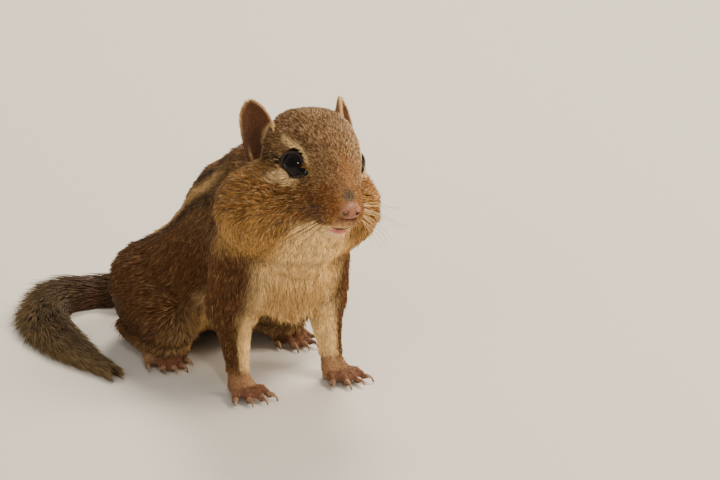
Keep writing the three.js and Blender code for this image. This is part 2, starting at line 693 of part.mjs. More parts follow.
addNode("rump", trunk.solid.subtract(beforeWaist), finish("rump"));

// Cones part the tail into three lengths, under the last locks of one and over the first of the next
const tailStarts = [0, 0.38, 0.7, 1].map((share) => share * TAIL_LENGTH);
["tail_base", "tail_middle", "tail_tip"].forEach((name, i) => {
  const [from, to] = [tailStarts[i], tailStarts[i + 1]];
  let length = tailPart(from - (i > 0 ? TAIL_CORE : 0), to, 11 + 12 * i);
  if (i > 0) length = length.intersect(tailPast(from, -GAP / 2));
  if (i < 2) length = length.subtract(tailPast(to, GAP / 2));
  addNode(name, cutBy(length, [BELOW_FLOOR, trunkCutter]), finish("tail"));
});

// The origin is under the middle of the whole animal, on the floor
const box = new THREE.Box3().setFromObject(animal, true);
const middle = box.getCenter(v3());
animal.position.set(-middle.x, -middle.y, -box.min.z);

export default animal;
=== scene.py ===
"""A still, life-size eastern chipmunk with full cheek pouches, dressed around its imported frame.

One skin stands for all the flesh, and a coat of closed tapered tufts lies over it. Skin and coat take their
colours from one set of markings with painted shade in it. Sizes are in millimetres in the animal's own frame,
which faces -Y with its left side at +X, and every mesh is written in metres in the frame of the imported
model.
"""

from __future__ import annotations

import logging
import math
from dataclasses import dataclass, field, fields
from enum import Enum
from typing import Callable, ClassVar

import bmesh
import bpy
import numpy as np
from mathutils import Matrix, Vector
from mathutils.kdtree import KDTree

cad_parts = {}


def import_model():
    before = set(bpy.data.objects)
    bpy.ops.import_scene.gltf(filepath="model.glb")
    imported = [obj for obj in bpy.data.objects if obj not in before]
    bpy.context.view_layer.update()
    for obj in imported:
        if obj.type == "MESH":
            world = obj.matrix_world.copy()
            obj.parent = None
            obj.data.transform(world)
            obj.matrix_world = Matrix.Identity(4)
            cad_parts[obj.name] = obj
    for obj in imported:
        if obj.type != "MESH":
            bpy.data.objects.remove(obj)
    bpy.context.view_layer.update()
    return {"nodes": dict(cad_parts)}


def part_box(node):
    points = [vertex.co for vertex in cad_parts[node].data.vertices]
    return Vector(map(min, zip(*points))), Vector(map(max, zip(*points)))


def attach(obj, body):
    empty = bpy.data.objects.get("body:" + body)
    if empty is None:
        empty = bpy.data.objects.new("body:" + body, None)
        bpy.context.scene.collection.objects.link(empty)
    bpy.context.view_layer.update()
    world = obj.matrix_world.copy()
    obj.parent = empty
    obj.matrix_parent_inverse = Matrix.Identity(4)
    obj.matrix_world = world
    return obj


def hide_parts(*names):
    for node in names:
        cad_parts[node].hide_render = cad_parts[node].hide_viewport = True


log = logging.getLogger("chipmunk")

MM = 0.001
BODY = "root"
SIDES = {"right": -1, "left": 1}
LIMB_PARTS = ("upper_arm", "forearm", "forepaw", "thigh", "shank", "hindfoot")
FLESH_NODES = ["head", "jaw", "neck", "torso", "rump"]
FLESH_NODES += [f"{part}_{side}" for part in LIMB_PARTS for side in SIDES]
TAIL_NODES = ["tail_base", "tail_middle", "tail_tip"]
TUFTS_PER_PIECE = 19500
UV_NAME = "OFBake"
UV_PATCH = 0.003
# The colour attribute holds the markings together with painted shade, such as the darkening under the coat
# and in folds
COLOUR_NAME = "markings"
MERGE_DISTANCE = 0.001 * MM

Array = np.ndarray
Weight = Callable[[Array, Array], Array]


class Area(Enum):
    """The parts of the coat, each a set of pieces."""

    HEAD = "crown"
    NAPE = "nape"
    TRUNK = "flank"
    RUMP = "rump"
    FORELEGS = "foreleg"
    HINDLEGS = "hindleg"
    PAWS = "paw"


def srgb(red: float, green: float, blue: float) -> Array:
    """Turn a colour of 0 to 255 into linear light."""
    values = np.array([red, green, blue]) / 255
    return np.where(values <= 0.04045, values / 12.92, ((values + 0.055) / 1.055) ** 2.4)


def ease(low: float, high: float, values: Array) -> Array:
    """Rise smoothly from 0 at low to 1 at high, or fall where low is the larger."""
    share = np.clip((values - low) / (high - low), 0, 1)
    return share * share * (3 - 2 * share)


def bump_at(values: Array, centre: float, half_width: float) -> Array:
    """A soft hill of height 1 at a centre, gone at half_width from it."""
    return ease(half_width, 0, np.abs(values - centre))


def unit(vectors: Array) -> Array:
    """Scale vectors to length 1."""
    return vectors / np.maximum(np.linalg.norm(vectors, axis=-1, keepdims=True), 1e-12)


def segment_distance(points: Array, start: Array, end: Array) -> Array:
    """Distance of each point from a straight segment."""
    along = end - start
    share = np.clip((points - start) @ along / (along @ along), 0, 1)
    return np.linalg.norm(points - start - share[:, None] * along, axis=1)


def mixed(base: Array, colour: Array, weight: Array) -> Array:
    """Blend one colour over rows of colours."""
    return base + (colour - base) * weight[:, None]


def layered(base: Array, colours: dict[str, Array], layers: list[tuple[str, Array]]) -> Array:
    """Blend named colours over rows of colours, one after the other.

    Args:
        base: the rows of colours.
        colours: the named ones, in linear light.
        layers: each layer's name and its weight in every row.
    """
    for name, weight in layers:
        base = mixed(base, colours[name], weight)
    return base


def sine_noise(points: Array, scale: float, seed: int) -> Array:
    """Smooth noise of about -1 to 1 with features of the given size in millimetres."""
    random = np.random.default_rng(seed)
    ways = unit(random.normal(size=(7, 3))) * (2 * math.pi / scale) * random.uniform(0.6, 1.5, size=(7, 1))
    phases = random.uniform(0, 2 * math.pi, 7)
    return np.sin(points @ ways.T + phases).sum(axis=1) / 3.2


@dataclass
class Anatomy:
    """Where the animal's landmarks lie. The frame's eyes fix the origin of the animal's own coordinates.

    Args:
        head_place: the point between the eyes, in millimetres.
        head_turn: the head's turn about X, Y and Z, in degrees, made about Y first and Z last.
        eye_forward: how far the frame's eyes lie before that point.
        eye_spacing: the distance between the frame's eyes.
        eye_radius: the radius of the frame's eyes.
        eye_drop: how far the eyeballs sit below the frame's eyes.
        eye_back: how far they sit behind them.
        eye_corner_place: the left eye's inner corner, in the head's frame.
        nose_tip: how far the nose reaches before the head's own middle.
        nose_drop: how far below it the nose lies.
        mouth_half_width: half the mouth's width.
        mouth_drop: how far below the head's middle the mouth lies.
        mouth_curve: how far its line has risen at that half width.
        chest_shift: how far the chest stands to the animal's left.
        origin: the animal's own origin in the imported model, which settle() finds.
        head_axes: the axes of the head's frame, which settle() finds.
    """

    head_place: tuple[float, float, float] = (2.8, -57.0, 73.5)
    head_turn: tuple[float, float, float] = (-3.0, 6.0, -2.5)
    eye_forward: float = 1.5
    eye_spacing: float = 17.4
    eye_radius: float = 4.35
    eye_drop: float = 0.65
    eye_back: float = 0.4
    eye_corner_place: tuple[float, float, float] = (9.15, -4.9, -1.3)
    nose_tip: float = 19.8
    nose_drop: float = 10.1
    mouth_half_width: float = 3.7
    mouth_drop: float = 17.0
    mouth_curve: float = 1.1
    chest_shift: float = 1.6
    origin: Array = field(init=False, default_factory=lambda: np.zeros(3))
    head_axes: Array = field(init=False, default_factory=lambda: np.eye(3))

    def settle(self) -> None:
        """Work out the head's axes, and the origin from the boxes of the two eyes."""
        about_x, about_y, about_z = (
            Matrix.Rotation(math.radians(angle), 3, axis) for angle, axis in zip(self.head_turn, "XYZ")
        )
        self.head_axes = np.array(about_z @ about_x @ about_y)
        centres = [sum(np.array(corner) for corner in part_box(f"eye_{side}")) / 2 for side in SIDES]
        between = self.from_head(np.array([[0, -self.eye_forward, 0]]))[0]
        self.origin = sum(centres) / 2 / MM - between

    def from_head(self, points: Array) -> Array:
        """Turn points of the head's frame into the animal's."""
        return np.asarray(points, float) @ self.head_axes.T + np.array(self.head_place)

    def to_head(self, points: Array) -> Array:
        """Turn points of the animal's frame into the head's."""
        return (points - np.array(self.head_place)) @ self.head_axes

    def head_way(self, x: float, y: float, z: float) -> Array:
        """A unit direction of the head's frame in the animal's."""
        return unit(np.array([x, y, z]) @ self.head_axes.T)

    def to_world(self, points: Array) -> Array:
        """Millimetres of the animal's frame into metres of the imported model."""
        return (points + self.origin) * MM

    def to_animal(self, points: Array) -> Array:
        """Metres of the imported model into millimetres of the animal's frame."""
        return points / MM - self.origin

    def mouth_line(self, x: Array) -> Array:
        """How high the line of the mouth runs at a distance from the head's middle: its corners turn up."""
        return -self.mouth_drop + self.mouth_curve * np.minimum(np.abs(x) / self.mouth_half_width, 1.6) ** 2

    def eye(self, side: int) -> Array:
        """The centre of an eyeball, which sits a little low and back in its socket."""
        place = np.array([side * self.eye_spacing / 2, self.eye_back - self.eye_forward, -self.eye_drop])
        return self.from_head(place[None])[0]

    def eye_corner(self, side: int) -> Array:
        """The inner corner of an eye, where the lids meet towards the nose."""
        return self.from_head(np.array([self.eye_corner_place]) * [side, 1, 1])[0]

    def elbow(self, side: int) -> Array:
        """The elbow of a foreleg."""
        return np.array([self.chest_shift + side * 15.0, -32.0, 26.0])

    def wrist(self, side: int) -> Array:
        """The wrist of a foreleg."""
        return np.array([self.chest_shift + side * 15.5, -36.5, 7.0])

    def shoulder(self, side: int) -> Array:
        """The shoulder of a foreleg."""
        return np.array([self.chest_shift + side * 11.5, -34.0, 43.0])

    def hip(self, side: int) -> Array:
        """The hip of a hind leg."""
        return np.array([side * 11.0, 20.0, 17.0])

    def knee(self, side: int) -> Array:
        """The knee of a hind leg."""
        return np.array([side * 19.5, -5.0, 13.5])

    def heel(self, side: int) -> Array:
        """The heel of a hind foot."""
        return np.array([side * 18.5, 21.0, 3.6])


class Survey:
    """What the coat needs to know of many points: where on the animal each is, as soft shares of 0 to 1."""

    RUMP_END = np.array([0.0, 22.0, 14.0])
    CHEST_END = np.array([0.0, -30.0, 46.0])
    BACK_RADIUS = 19.0
    PALM_SIZE = (17, 14)
    SOLE_SIZE = (10.5, 8.0)

    def __init__(self, anatomy: Anatomy, points: Array, normals: Array) -> None:
        """Measure the points.

        Args:
            anatomy: the landmarks.
            points: places on the skin, in millimetres of the animal's frame.
            normals: the skin's outward unit directions there.
        """
        self.points = points
        self.normals = normals
        self.anatomy = anatomy
        self.measure_head()
        self.measure_trunk()
        self.measure_forelegs()
        self.measure_hindlegs()
        self.foreleg *= 1 - self.head
        self.rump = ease(12, -4, self.along)
        self.nape = ease(30, 46, self.along) * (1 - self.head) * ease(38, 50, self.points[:, 2])
        self.measure_pale()

    def measure_head(self) -> None:
        """Places in the head's frame, and the share of the head."""
        self.hx, self.hy, self.hz = self.anatomy.to_head(self.points).T
        self.head = ease(29, 20, self.hy + 0.35 * np.maximum(self.hz, 0)) * ease(-31.5, -27.5, self.hz)
        self.head_side = np.abs(self.hx)

    def measure_trunk(self) -> None:
        """How far along the trunk's axis a point lies, and how far round it from the middle of the back."""
        self.axis = unit(self.CHEST_END - self.RUMP_END)
        above = np.array([0.0, self.axis[2], -self.axis[1]])
        radial = self.points - self.RUMP_END
        self.along = radial @ self.axis
        sideways = self.points[:, 0] - self.anatomy.chest_shift * np.clip(self.along / 60, 0, 1)
        self.round_angle = np.arctan2(np.abs(sideways), radial @ above)
        self.arc = self.round_angle * self.BACK_RADIUS

    def measure_forelegs(self) -> None:
        """The shares of the forelegs, forearms, forepaws and their toes."""
        anatomy, points = self.anatomy, self.points
        y, z = points[:, 1], points[:, 2]
        self.foreleg, self.forearm, self.paw, self.toes = np.zeros((4, len(points)))
        for side in SIDES.values():
            shoulder, elbow, wrist = anatomy.shoulder(side), anatomy.elbow(side), anatomy.wrist(side)
            upper = segment_distance(points, shoulder - np.array([0, 0, 6.0]), elbow)
            lower = segment_distance(points, elbow, wrist)
            reach = np.minimum(upper - 3.5, lower)
            self.foreleg = np.maximum(self.foreleg, ease(9.5, 6.5, reach))
            self.forearm = np.maximum(self.forearm, ease(9, 7, lower) * ease(27, 18, z))
            palm = wrist * np.array([1, 1, 0]) + np.array([0, -5.0, 2.0])
            near = ease(*self.PALM_SIZE, np.linalg.norm(points - palm, axis=1))
            self.paw = np.maximum(self.paw, near * ease(9.5, 6.0, z))
            self.toes = np.maximum(self.toes, self.paw * ease(-4.5, -8.5, y - wrist[1]))

    def measure_hindlegs(self) -> None:
        """The shares of the hind legs, the hind feet and their toes."""
        anatomy, points = self.anatomy, self.points
        x, y, z = points.T
        self.hindleg, self.hindfoot = np.zeros((2, len(points)))
        for side in SIDES.values():
            thigh = segment_distance(points, anatomy.hip(side), anatomy.knee(side))
            self.hindleg = np.maximum(self.hindleg, ease(16.5, 11.5, thigh) * ease(7, 13, np.abs(x)))
            heel = anatomy.heel(side)
            sole = segment_distance(points, heel, heel + np.array([side * 3.2, -33.0, -1.0]))
            self.hindfoot = np.maximum(self.hindfoot, ease(*self.SOLE_SIZE, sole) * ease(7.5, 5.5, z))
            self.toes = np.maximum(self.toes, self.hindfoot * ease(-24.5, -28.5, y - heel[1]))
        self.hindleg *= 1 - self.hindfoot

    def measure_pale(self) -> None:
        """The share of the cream: chest, underside and the inner sides of the forelegs."""
        x, y, z = self.points.T
        off_middle = x - self.anatomy.chest_shift
        inward = -np.sign(off_middle) * self.normals[:, 0]
        front = ease(0.1, -0.75, self.normals[:, 1]) * ease(-28, -38, y) * ease(17, 10, np.abs(off_middle))
        under = ease(2.0, 2.5, self.round_angle) * (1 - self.hindleg * 0.8) * (1 - self.foreleg)
        inner_leg = self.foreleg * ease(-0.25, 0.45, inward - 0.28 * self.normals[:, 1]) * ease(46, 34, z)
        self.pale = np.clip(np.maximum.reduce([front, under, inner_leg]), 0, 1) * (1 - self.head)

    def area(self) -> Array:
        """The area that each point belongs to, as its place in the list of areas."""
        order = list(Area)
        chosen = np.full(len(self.points), order.index(Area.TRUNK))
        chosen[self.rump > 0.5] = order.index(Area.RUMP)
        chosen[self.nape > 0.5] = order.index(Area.NAPE)
        chosen[self.hindleg > 0.5] = order.index(Area.HINDLEGS)
        chosen[self.foreleg > 0.5] = order.index(Area.FORELEGS)
        chosen[(self.paw > 0.5) | (self.hindfoot > 0.5)] = order.index(Area.PAWS)
        chosen[self.head > 0.5] = order.index(Area.HEAD)
        return chosen


@dataclass(frozen=True)
class Pelt:
    """The coat's colours, lengths and lie, shared by the skin and the tufts.

    The colours are of 0 to 255 and the lengths in millimetres.
    """

    crown: tuple = (131, 92, 55)
    forehead: tuple = (134, 94, 57)
    brow: tuple = (240, 204, 140)
    eye_line: tuple = (58, 36, 20)
    under_eye: tuple = (226, 190, 136)
    cheek: tuple = (154, 106, 50)
    cheek_low: tuple = (196, 148, 80)
    muzzle: tuple = (128, 75, 32)
    bridge: tuple = (155, 106, 62)
    chin: tuple = (253, 217, 152)
    cream: tuple = (250, 212, 146)
    # Painted shade: the cream darkened low on the chest between the forelegs
    belly: tuple = (200, 158, 98)
    nape: tuple = (104, 74, 43)
    band: tuple = (122, 86, 52)
    dark_stripe: tuple = (60, 38, 22)
    light_stripe: tuple = (196, 158, 102)
    flank: tuple = (96, 61, 31)
    rump: tuple = (102, 60, 28)
    thigh: tuple = (99, 63, 31)
    foreleg: tuple = (98, 62, 30)
    paw: tuple = (164, 120, 80)
    toe: tuple = (114, 70, 52)
    smudge: tuple = (84, 74, 64)
    upper_lip: tuple = (196, 142, 104)
    # Painted shadow: the dark line in the gap between the nose and the upper lip
    under_nose: tuple = (84, 34, 24)
    ear_inside: tuple = (104, 66, 42)
    ear_rim: tuple = (226, 186, 126)
    tail_root: tuple = (128, 76, 36)
    tail_dark: tuple = (38, 26, 18)
    tail_tip: tuple = (176, 146, 98)

    # Each stripe's colour, its distance from the middle of the back and its half width
    SIDE_STRIPES: ClassVar = (
        ("dark_stripe", 9.0, 2.4),
        ("light_stripe", 12.6, 2.6),
        ("dark_stripe", 16.3, 2.3),
    )

    def colour(self, at: Survey) -> Array:
        """The markings' linear colour at each surveyed point, with painted shade low on the chest and on the
        head.
        """
        c = {entry.name: srgb(*getattr(self, entry.name)) for entry in fields(self)}
        wander = sine_noise(at.points, 9, 5)
        on_back = ease(1.62, 1.3, at.round_angle) * ease(-20, -8, at.along) * (1 - at.head)
        arc = at.arc + wander * 0.35
        stripes = on_back * ease(-14, 2, at.along) * ease(74, 58, at.along)
        off_middle = np.abs(at.points[:, 0] - at.anatomy.chest_shift)
        chest_shade_mask = ease(44, 34, at.points[:, 2]) * ease(13, 7, off_middle)
        layers = [
            ("rump", at.rump),
            ("nape", at.nape),
            ("thigh", at.hindleg * 0.8),
            ("band", on_back * ease(8.5, 6.5, arc)),
            ("dark_stripe", on_back * bump_at(arc, 0, 2.2) * ease(-14, 0, at.along)),
            *((name, stripes * bump_at(arc, place, half)) for name, place, half in self.SIDE_STRIPES),
            ("foreleg", at.foreleg * (1 - at.head)),
            ("cream", at.pale),
            # painted shade over the cream low on the chest
            ("belly", at.pale * chest_shade_mask * 0.7),
            ("paw", np.maximum(at.paw, at.hindfoot) * 0.9),
            ("toe", at.toes * 0.85),
        ]
        base = layered(np.tile(c["flank"], (len(at.points), 1)), c, layers)
        return mixed(base, self.head_colour(at, c), at.head)

    def head_colour(self, at: Survey, c: dict[str, Array]) -> Array:
        """The head's markings in the head's frame, with a painted shadow under the nose and painted shade low
        at the back of the cheek.

        Args:
            at: the surveyed points.
            c: the named colours, in linear light.
        """
        x, y, z = at.head_side, at.hy, at.hz
        wander = sine_noise(at.points, 6, 8) * 0.5
        beside = ease(5, 6.5, x)
        side_of_muzzle = ease(-3, -9, y) * ease(2.2, 4.2, x) * ease(-13.5, -10.5, z) * ease(-2.5, -5.0, z)
        behind_eye = bump_at(z, 0.4 - 0.08 * (y + 1.5), 2.6) * ease(-2, 2, y) * ease(17, 13, y)
        before_eye = ease(2.8, 1.2, np.hypot(y + 6.2, (z + 3.3) * 0.7))
        brow_line = 5.2 + 0.27 * y - 0.1 * np.minimum(y + 3, 0) ** 2
        brow = bump_at(z, brow_line, 1.7) * ease(-8.5, -6.5, y) * ease(5.5, 3, y) * ease(4.8, 6.2, x)
        patch = ease(1.2, 0.7, np.hypot((y - 0.9) / 5.2, (z + 4.6 + 0.1 * y) / 2.6))
        below = bump_at(z, -8.6 + wander, 2.4) * ease(-10, -5, y) * ease(9, 3, y)
        pad = ease(5.5, 2.5, np.hypot((y + 5.5) * 0.55, z + 10.0)) * ease(3.5, 5.5, x)
        smudge = ease(2.7, 0.9, np.sqrt(x**2 + ((y + 17.6) * 0.75) ** 2 + ((z + 6.7) * 0.75) ** 2))
        layers = [
            ("cheek_low", ease(-13, -24, z + wander)),
            ("crown", ease(-2.5, 3.0, z + 0.12 * y + wander)),
            ("nape", ease(14, 24, y) * ease(-12, -2, z)),
            ("forehead", ease(6, -5, y) * ease(-7.5, -3, z) * ease(8.5, 5.5, x)),
            ("bridge", ease(-8, -14, y) * ease(3.6, 1.8, x) * ease(-9, -6, z)),
            ("muzzle", side_of_muzzle * 0.9),
            ("eye_line", behind_eye * beside),
            ("eye_line", before_eye * beside * 0.7),
            ("brow", brow),
            ("under_eye", patch * beside),
            ("muzzle", below * beside * 0.45),
            ("eye_line", pad * 0.25),
            ("smudge", smudge * 0.8),
            ("chin", ease(-13.2, -16.0, z + 0.25 * x + wander) * ease(6, -2, y) * ease(12, 6, x)),
            ("upper_lip", bump_at(z, -14.2, 2.2) * ease(-10, -13, y) * ease(5, 3, x) * 0.7),
            # painted shadow in the gap between the nose and the upper lip
            ("under_nose", bump_at(z, -12.9, 0.9) * ease(-14.5, -16, y) * ease(3.4, 2.2, x)),
            ("cream", ease(-19, -24, z) * ease(14, 8, x)),
        ]
        head = layered(np.tile(c["cheek"], (len(x), 1)), c, layers)
        # Painted shade: the back of the cheek is darkened low down, where the head meets the neck
        return head * (1 - 0.42 * ease(11, 22, y) * ease(-4, -12, z))[:, None]

    def length(self, at: Survey) -> Array:
        """How long the coat is at each surveyed point."""
        hair = 4.3 + 0.5 * at.rump - 0.9 * at.nape + 0.7 * at.pale * (1 - at.foreleg)
        feet = np.maximum(at.paw, at.hindfoot)
        for short, share in ((3.6, at.hindleg * 0.6), (3.2, at.foreleg), (1.9, at.forearm), (0.75, feet)):
            hair = hair + (short - hair) * share
        face = 3.1 - 1.1 * ease(-4, 2, at.hz)
        for short, share in ((1.5, ease(2, -8, at.hy)), (0.8, ease(-10, -15, at.hy))):
            face = face + (short - face) * share
        return hair + (face - hair) * at.head

    def depth(self, at: Survey) -> Array:
        """How far the skin lies under the outside of the coat."""
        return self.length(at) * 0.36 * (1 - 0.8 * np.maximum(at.paw, at.hindfoot))

    def lie(self, at: Survey) -> Array:
        """The way that the coat lies at each surveyed point, along the skin."""
        anatomy = at.anatomy
        down = np.array([0, 0, -1.0])
        droop = np.sin(np.clip(at.round_angle, 0, math.pi))[:, None] * down * 0.55
        way = unit(np.tile(-at.axis, (len(at.points), 1)) + droop)
        nose = anatomy.from_head(np.array([[0, -anatomy.nose_tip, -anatomy.nose_drop + 1]]))[0]
        backwards = anatomy.head_way(0, 1, -0.35)
        face = unit(unit(at.points - nose) + backwards * 0.8)
        throat = (ease(-13, -21, at.hz) * ease(-9, -4, at.hy))[:, None]
        face = unit(face * (1 - 0.75 * throat) + down * 0.75 * throat)
        for share, towards in (
            (ease(-26, -38, at.points[:, 1]), unit(np.array([0, -0.1, -1.0]))),
            (at.foreleg, np.array([0, 0.1, -1.0])),
            (at.hindleg, unit(np.array([0, 0.75, -0.65]))),
            (np.maximum(at.paw, at.hindfoot), np.array([0, -1.0, -0.15])),
            (at.head, face),
        ):
            way = way * (1 - share[:, None]) + towards * share[:, None]
        return unit(way - (way * at.normals).sum(axis=1, keepdims=True) * at.normals)


class ShaderValue:
    """A number socket that can be used in expressions, each of which adds its Math node."""

    def __init__(self, shader: "Shader", socket: bpy.types.NodeSocket) -> None:
        """Wrap an output socket of a shader's tree."""
        self.shader = shader
        self.socket = socket

    def _maths(self, operation: str, first: object, second: object) -> "ShaderValue":
        """Add one Math node."""
        node = self.shader.node("ShaderNodeMath", {"operation": operation}, {0: first, 1: second})
        return ShaderValue(self.shader, node.outputs[0])

    def __add__(self, other: object) -> "ShaderValue":
        """Add."""
        return self._maths("ADD", self, other)

    def __mul__(self, other: object) -> "ShaderValue":
        """Multiply."""
        return self._maths("MULTIPLY", self, other)


class Shader:
    """A material and the tree that it is built in."""

    def __init__(self, name: str) -> None:
        """Start a material with an empty tree and a Principled shader."""
        self.material = bpy.data.materials.new(name)
        self.material.use_nodes = True
        self.tree = self.material.node_tree
        self.tree.nodes.clear()
        self.output = self.tree.nodes.new("ShaderNodeOutputMaterial")
        self.surface = self.tree.nodes.new("ShaderNodeBsdfPrincipled")
        self.tree.links.new(self.surface.outputs[0], self.output.inputs["Surface"])

    def node(self, kind: str, settings: dict[str, object], inputs: dict[object, object]) -> bpy.types.Node:
        """Add a node.

        Args:
            kind: the node's type.
            settings: properties, set first. A ramp's two stops are a list of place and colour.
            inputs: values or links for its sockets.

        Returns:
            The node.
        """
        node = self.tree.nodes.new(kind)
        for key, value in settings.items():
            if key == "stops":
                for element, (place, colour) in zip(node.color_ramp.elements, value):
                    element.position = place
                    element.color = (*colour, 1)
            else:
                setattr(node, key, value)
        for key, value in inputs.items():
            self.feed(node.inputs[key], value)
        return node

    def feed(self, socket: bpy.types.NodeSocket, value: object) -> None:
        """Link a socket, or set its value."""
        if isinstance(value, ShaderValue):
            self.tree.links.new(value.socket, socket)
        elif isinstance(value, bpy.types.NodeSocket):
            self.tree.links.new(value, socket)
        else:
            socket.default_value = value

    def coordinates(self) -> bpy.types.NodeSocket:
        """The object's own coordinates."""
        return self.node("ShaderNodeTexCoord", {}, {}).outputs["Object"]

    def noise(self, scale: float, detail: float) -> ShaderValue:
        """Noise of 0 to 1 over the object's coordinates."""
        inputs = {"Vector": self.coordinates(), "Scale": scale, "Detail": detail}
        return ShaderValue(self, self.node("ShaderNodeTexNoise", {}, inputs).outputs["Fac"])

    def attribute_colour(self) -> bpy.types.NodeSocket:
        """The markings that the piece carries."""
        return self.node("ShaderNodeVertexColor", {"layer_name": COLOUR_NAME}, {}).outputs["Color"]

    def scaled_colour(self, colour: object, factor: object) -> bpy.types.NodeSocket:
        """A colour times a number."""
        node = self.node("ShaderNodeVectorMath", {"operation": "SCALE"}, {0: colour, "Scale": factor})
        return node.outputs[0]

    def bump(self, height: ShaderValue, distance: float, strength: float) -> None:
        """Raise the surface by a height in metres."""
        inputs = {"Height": height, "Distance": distance, "Strength": strength}
        self.feed(self.surface.inputs["Normal"], self.node("ShaderNodeBump", {}, inputs).outputs[0])

    def colour_by_markings(self, factor: ShaderValue) -> None:
        """Colour the surface by the markings times a number."""
        colour = self.scaled_colour(self.attribute_colour(), factor)
        self.feed(self.surface.inputs["Base Color"], colour)

    def fixed(self, **values: object) -> None:
        """Set sockets of the Principled shader that are the same all over."""
        for name, value in values.items():
            self.surface.inputs[name.replace("_", " ")].default_value = value


@dataclass(frozen=True)
class FurFinish:
    """Hair: the markings with a fine variation, and a soft sheen.

    Args:
        roughness: the surface's roughness.
        variation: how much the light of the colours varies.
    """

    roughness: float = 0.55
    variation: float = 0.45

    def material(self, name: str) -> bpy.types.Material:
        """Build the material."""
        shader = Shader(name)
        factor = shader.noise(900.0, 2.0) * self.variation + (1 - self.variation / 2)
        shader.colour_by_markings(factor)
        shader.fixed(Roughness=self.roughness, Specular_IOR_Level=0.28)
        return shader.material


@dataclass(frozen=True)
class SkinFinish:
    """The skin under the coat, with the grain of flat short fur.

    Args:
        grain: how fine the grain is.
    """

    grain: float = 2600.0

    def material(self, name: str) -> bpy.types.Material:
        """Build the material."""
        shader = Shader(name)
        factor = shader.noise(self.grain, 4.0) * 0.7 + 0.5
        shader.colour_by_markings(factor)
        shader.bump(shader.noise(self.grain * 0.7, 3.0), 0.0003, 0.7)
        shader.fixed(Roughness=0.7, Specular_IOR_Level=0.2)
        return shader.material


@dataclass(frozen=True)
class BareFinish:
    """Bare skin, horn or lips: one colour with mottling and fine bumps.

    Args:
        light: the mottling's lighter colour, of 0 to 255.
        dark: its darker one.
        roughness: the surface's roughness.
        mottle: how fine the mottling is.
        bumps: the bumps' height, in metres.
        subsurface: how much light passes under the surface.
    """

    light: tuple = (190, 130, 108)
    dark: tuple = (130, 78, 62)
    roughness: float = 0.42
    mottle: float = 1500.0
    bumps: float = 0.00012
    subsurface: float = 0.15

    def material(self, name: str) -> bpy.types.Material:
        """Build the material."""
        shader = Shader(name)
        stops = [(0.3, tuple(srgb(*self.dark))), (0.7, tuple(srgb(*self.light)))]
        ramp = shader.node("ShaderNodeValToRGB", {"stops": stops}, {0: shader.noise(self.mottle, 4.0)})
        shader.feed(shader.surface.inputs["Base Color"], ramp.outputs["Color"])
        shader.bump(shader.noise(self.mottle * 2.5, 3.0), self.bumps, 0.6)
        shader.fixed(Roughness=self.roughness, Subsurface_Weight=self.subsurface, Subsurface_Scale=0.001)
        return shader.material


@dataclass(frozen=True)
class EyeFinish:
    """The wet, nearly black eye with a deep brown iris."""

    def material(self, name: str) -> bpy.types.Material:
        """Build the material."""
        shader = Shader(name)
        shader.feed(shader.surface.inputs["Base Color"], shader.attribute_colour())
        shader.fixed(Roughness=0.03, Specular_IOR_Level=0.2)
        return shader.material


@dataclass(frozen=True)
class FloorFinish:
    """A plain pale studio floor.

    Args:
        colour: of 0 to 255.
    """

    colour: tuple = (206, 198, 186)

    def material(self, name: str) -> bpy.types.Material:
        """Build the material."""
        shader = Shader(name)
        shader.fixed(Base_Color=(*srgb(*self.colour), 1), Roughness=0.8)
        return shader.material


def new_object(name: str, mesh: bpy.types.Mesh, material: bpy.types.Material) -> bpy.types.Object:
    """Link a mesh as an object with one material."""
    mesh.materials.clear()
    mesh.materials.append(material)
    piece = bpy.data.objects.new(name, mesh)
    bpy.context.scene.collection.objects.link(piece)
    return piece


def move(mesh: bpy.types.Mesh, places: Array) -> None:
    """Put a mesh's vertices at places in metres."""
    mesh.vertices.foreach_set("co", places.astype(np.float32).ravel())
    mesh.update()


def paint(mesh: bpy.types.Mesh, colours: Array) -> None:
    """Write one linear colour for each vertex."""
    layer = mesh.color_attributes.new(COLOUR_NAME, "FLOAT_COLOR", "POINT")
    rows = np.ones((len(mesh.vertices), 4), np.float32)
    rows[:, :3] = colours
    layer.data.foreach_set("color", rows.ravel())


def vertices_of(mesh: bpy.types.Mesh) -> tuple[Array, Array]:
    """Vertex places, in metres, and unit normals."""
    count = len(mesh.vertices)
    places = np.zeros(count * 3, np.float32)
    mesh.vertices.foreach_get("co", places)
    normals = np.zeros(count * 3, np.float32)
    mesh.vertices.foreach_get("normal", normals)
    return places.reshape(-1, 3).astype(float), normals.reshape(-1, 3).astype(float)


def evaluated_copy(piece: bpy.types.Object, name: str) -> bpy.types.Mesh:
    """The mesh of an object with its modifiers applied."""
    graph = bpy.context.evaluated_depsgraph_get()
    mesh = bpy.data.meshes.new_from_object(piece.evaluated_get(graph))
    mesh.name = name
    return mesh


def apply_modifiers(piece: bpy.types.Object) -> bpy.types.Mesh:
    """Give a piece its evaluated mesh, take its modifiers off, and return the mesh."""
    mesh = evaluated_copy(piece, f"{piece.name}_fine")
    piece.modifiers.clear()
    piece.data = mesh
    return mesh


def subdivide(piece: bpy.types.Object, levels: int = 2) -> bpy.types.Mesh:
    """Give a piece its smooth subdivision, and return the mesh."""
    finer = piece.modifiers.new("finer", "SUBSURF")
    finer.levels = levels
    finer.render_levels = levels
    mesh = apply_modifiers(piece)
    mesh.shade_smooth()
    return mesh


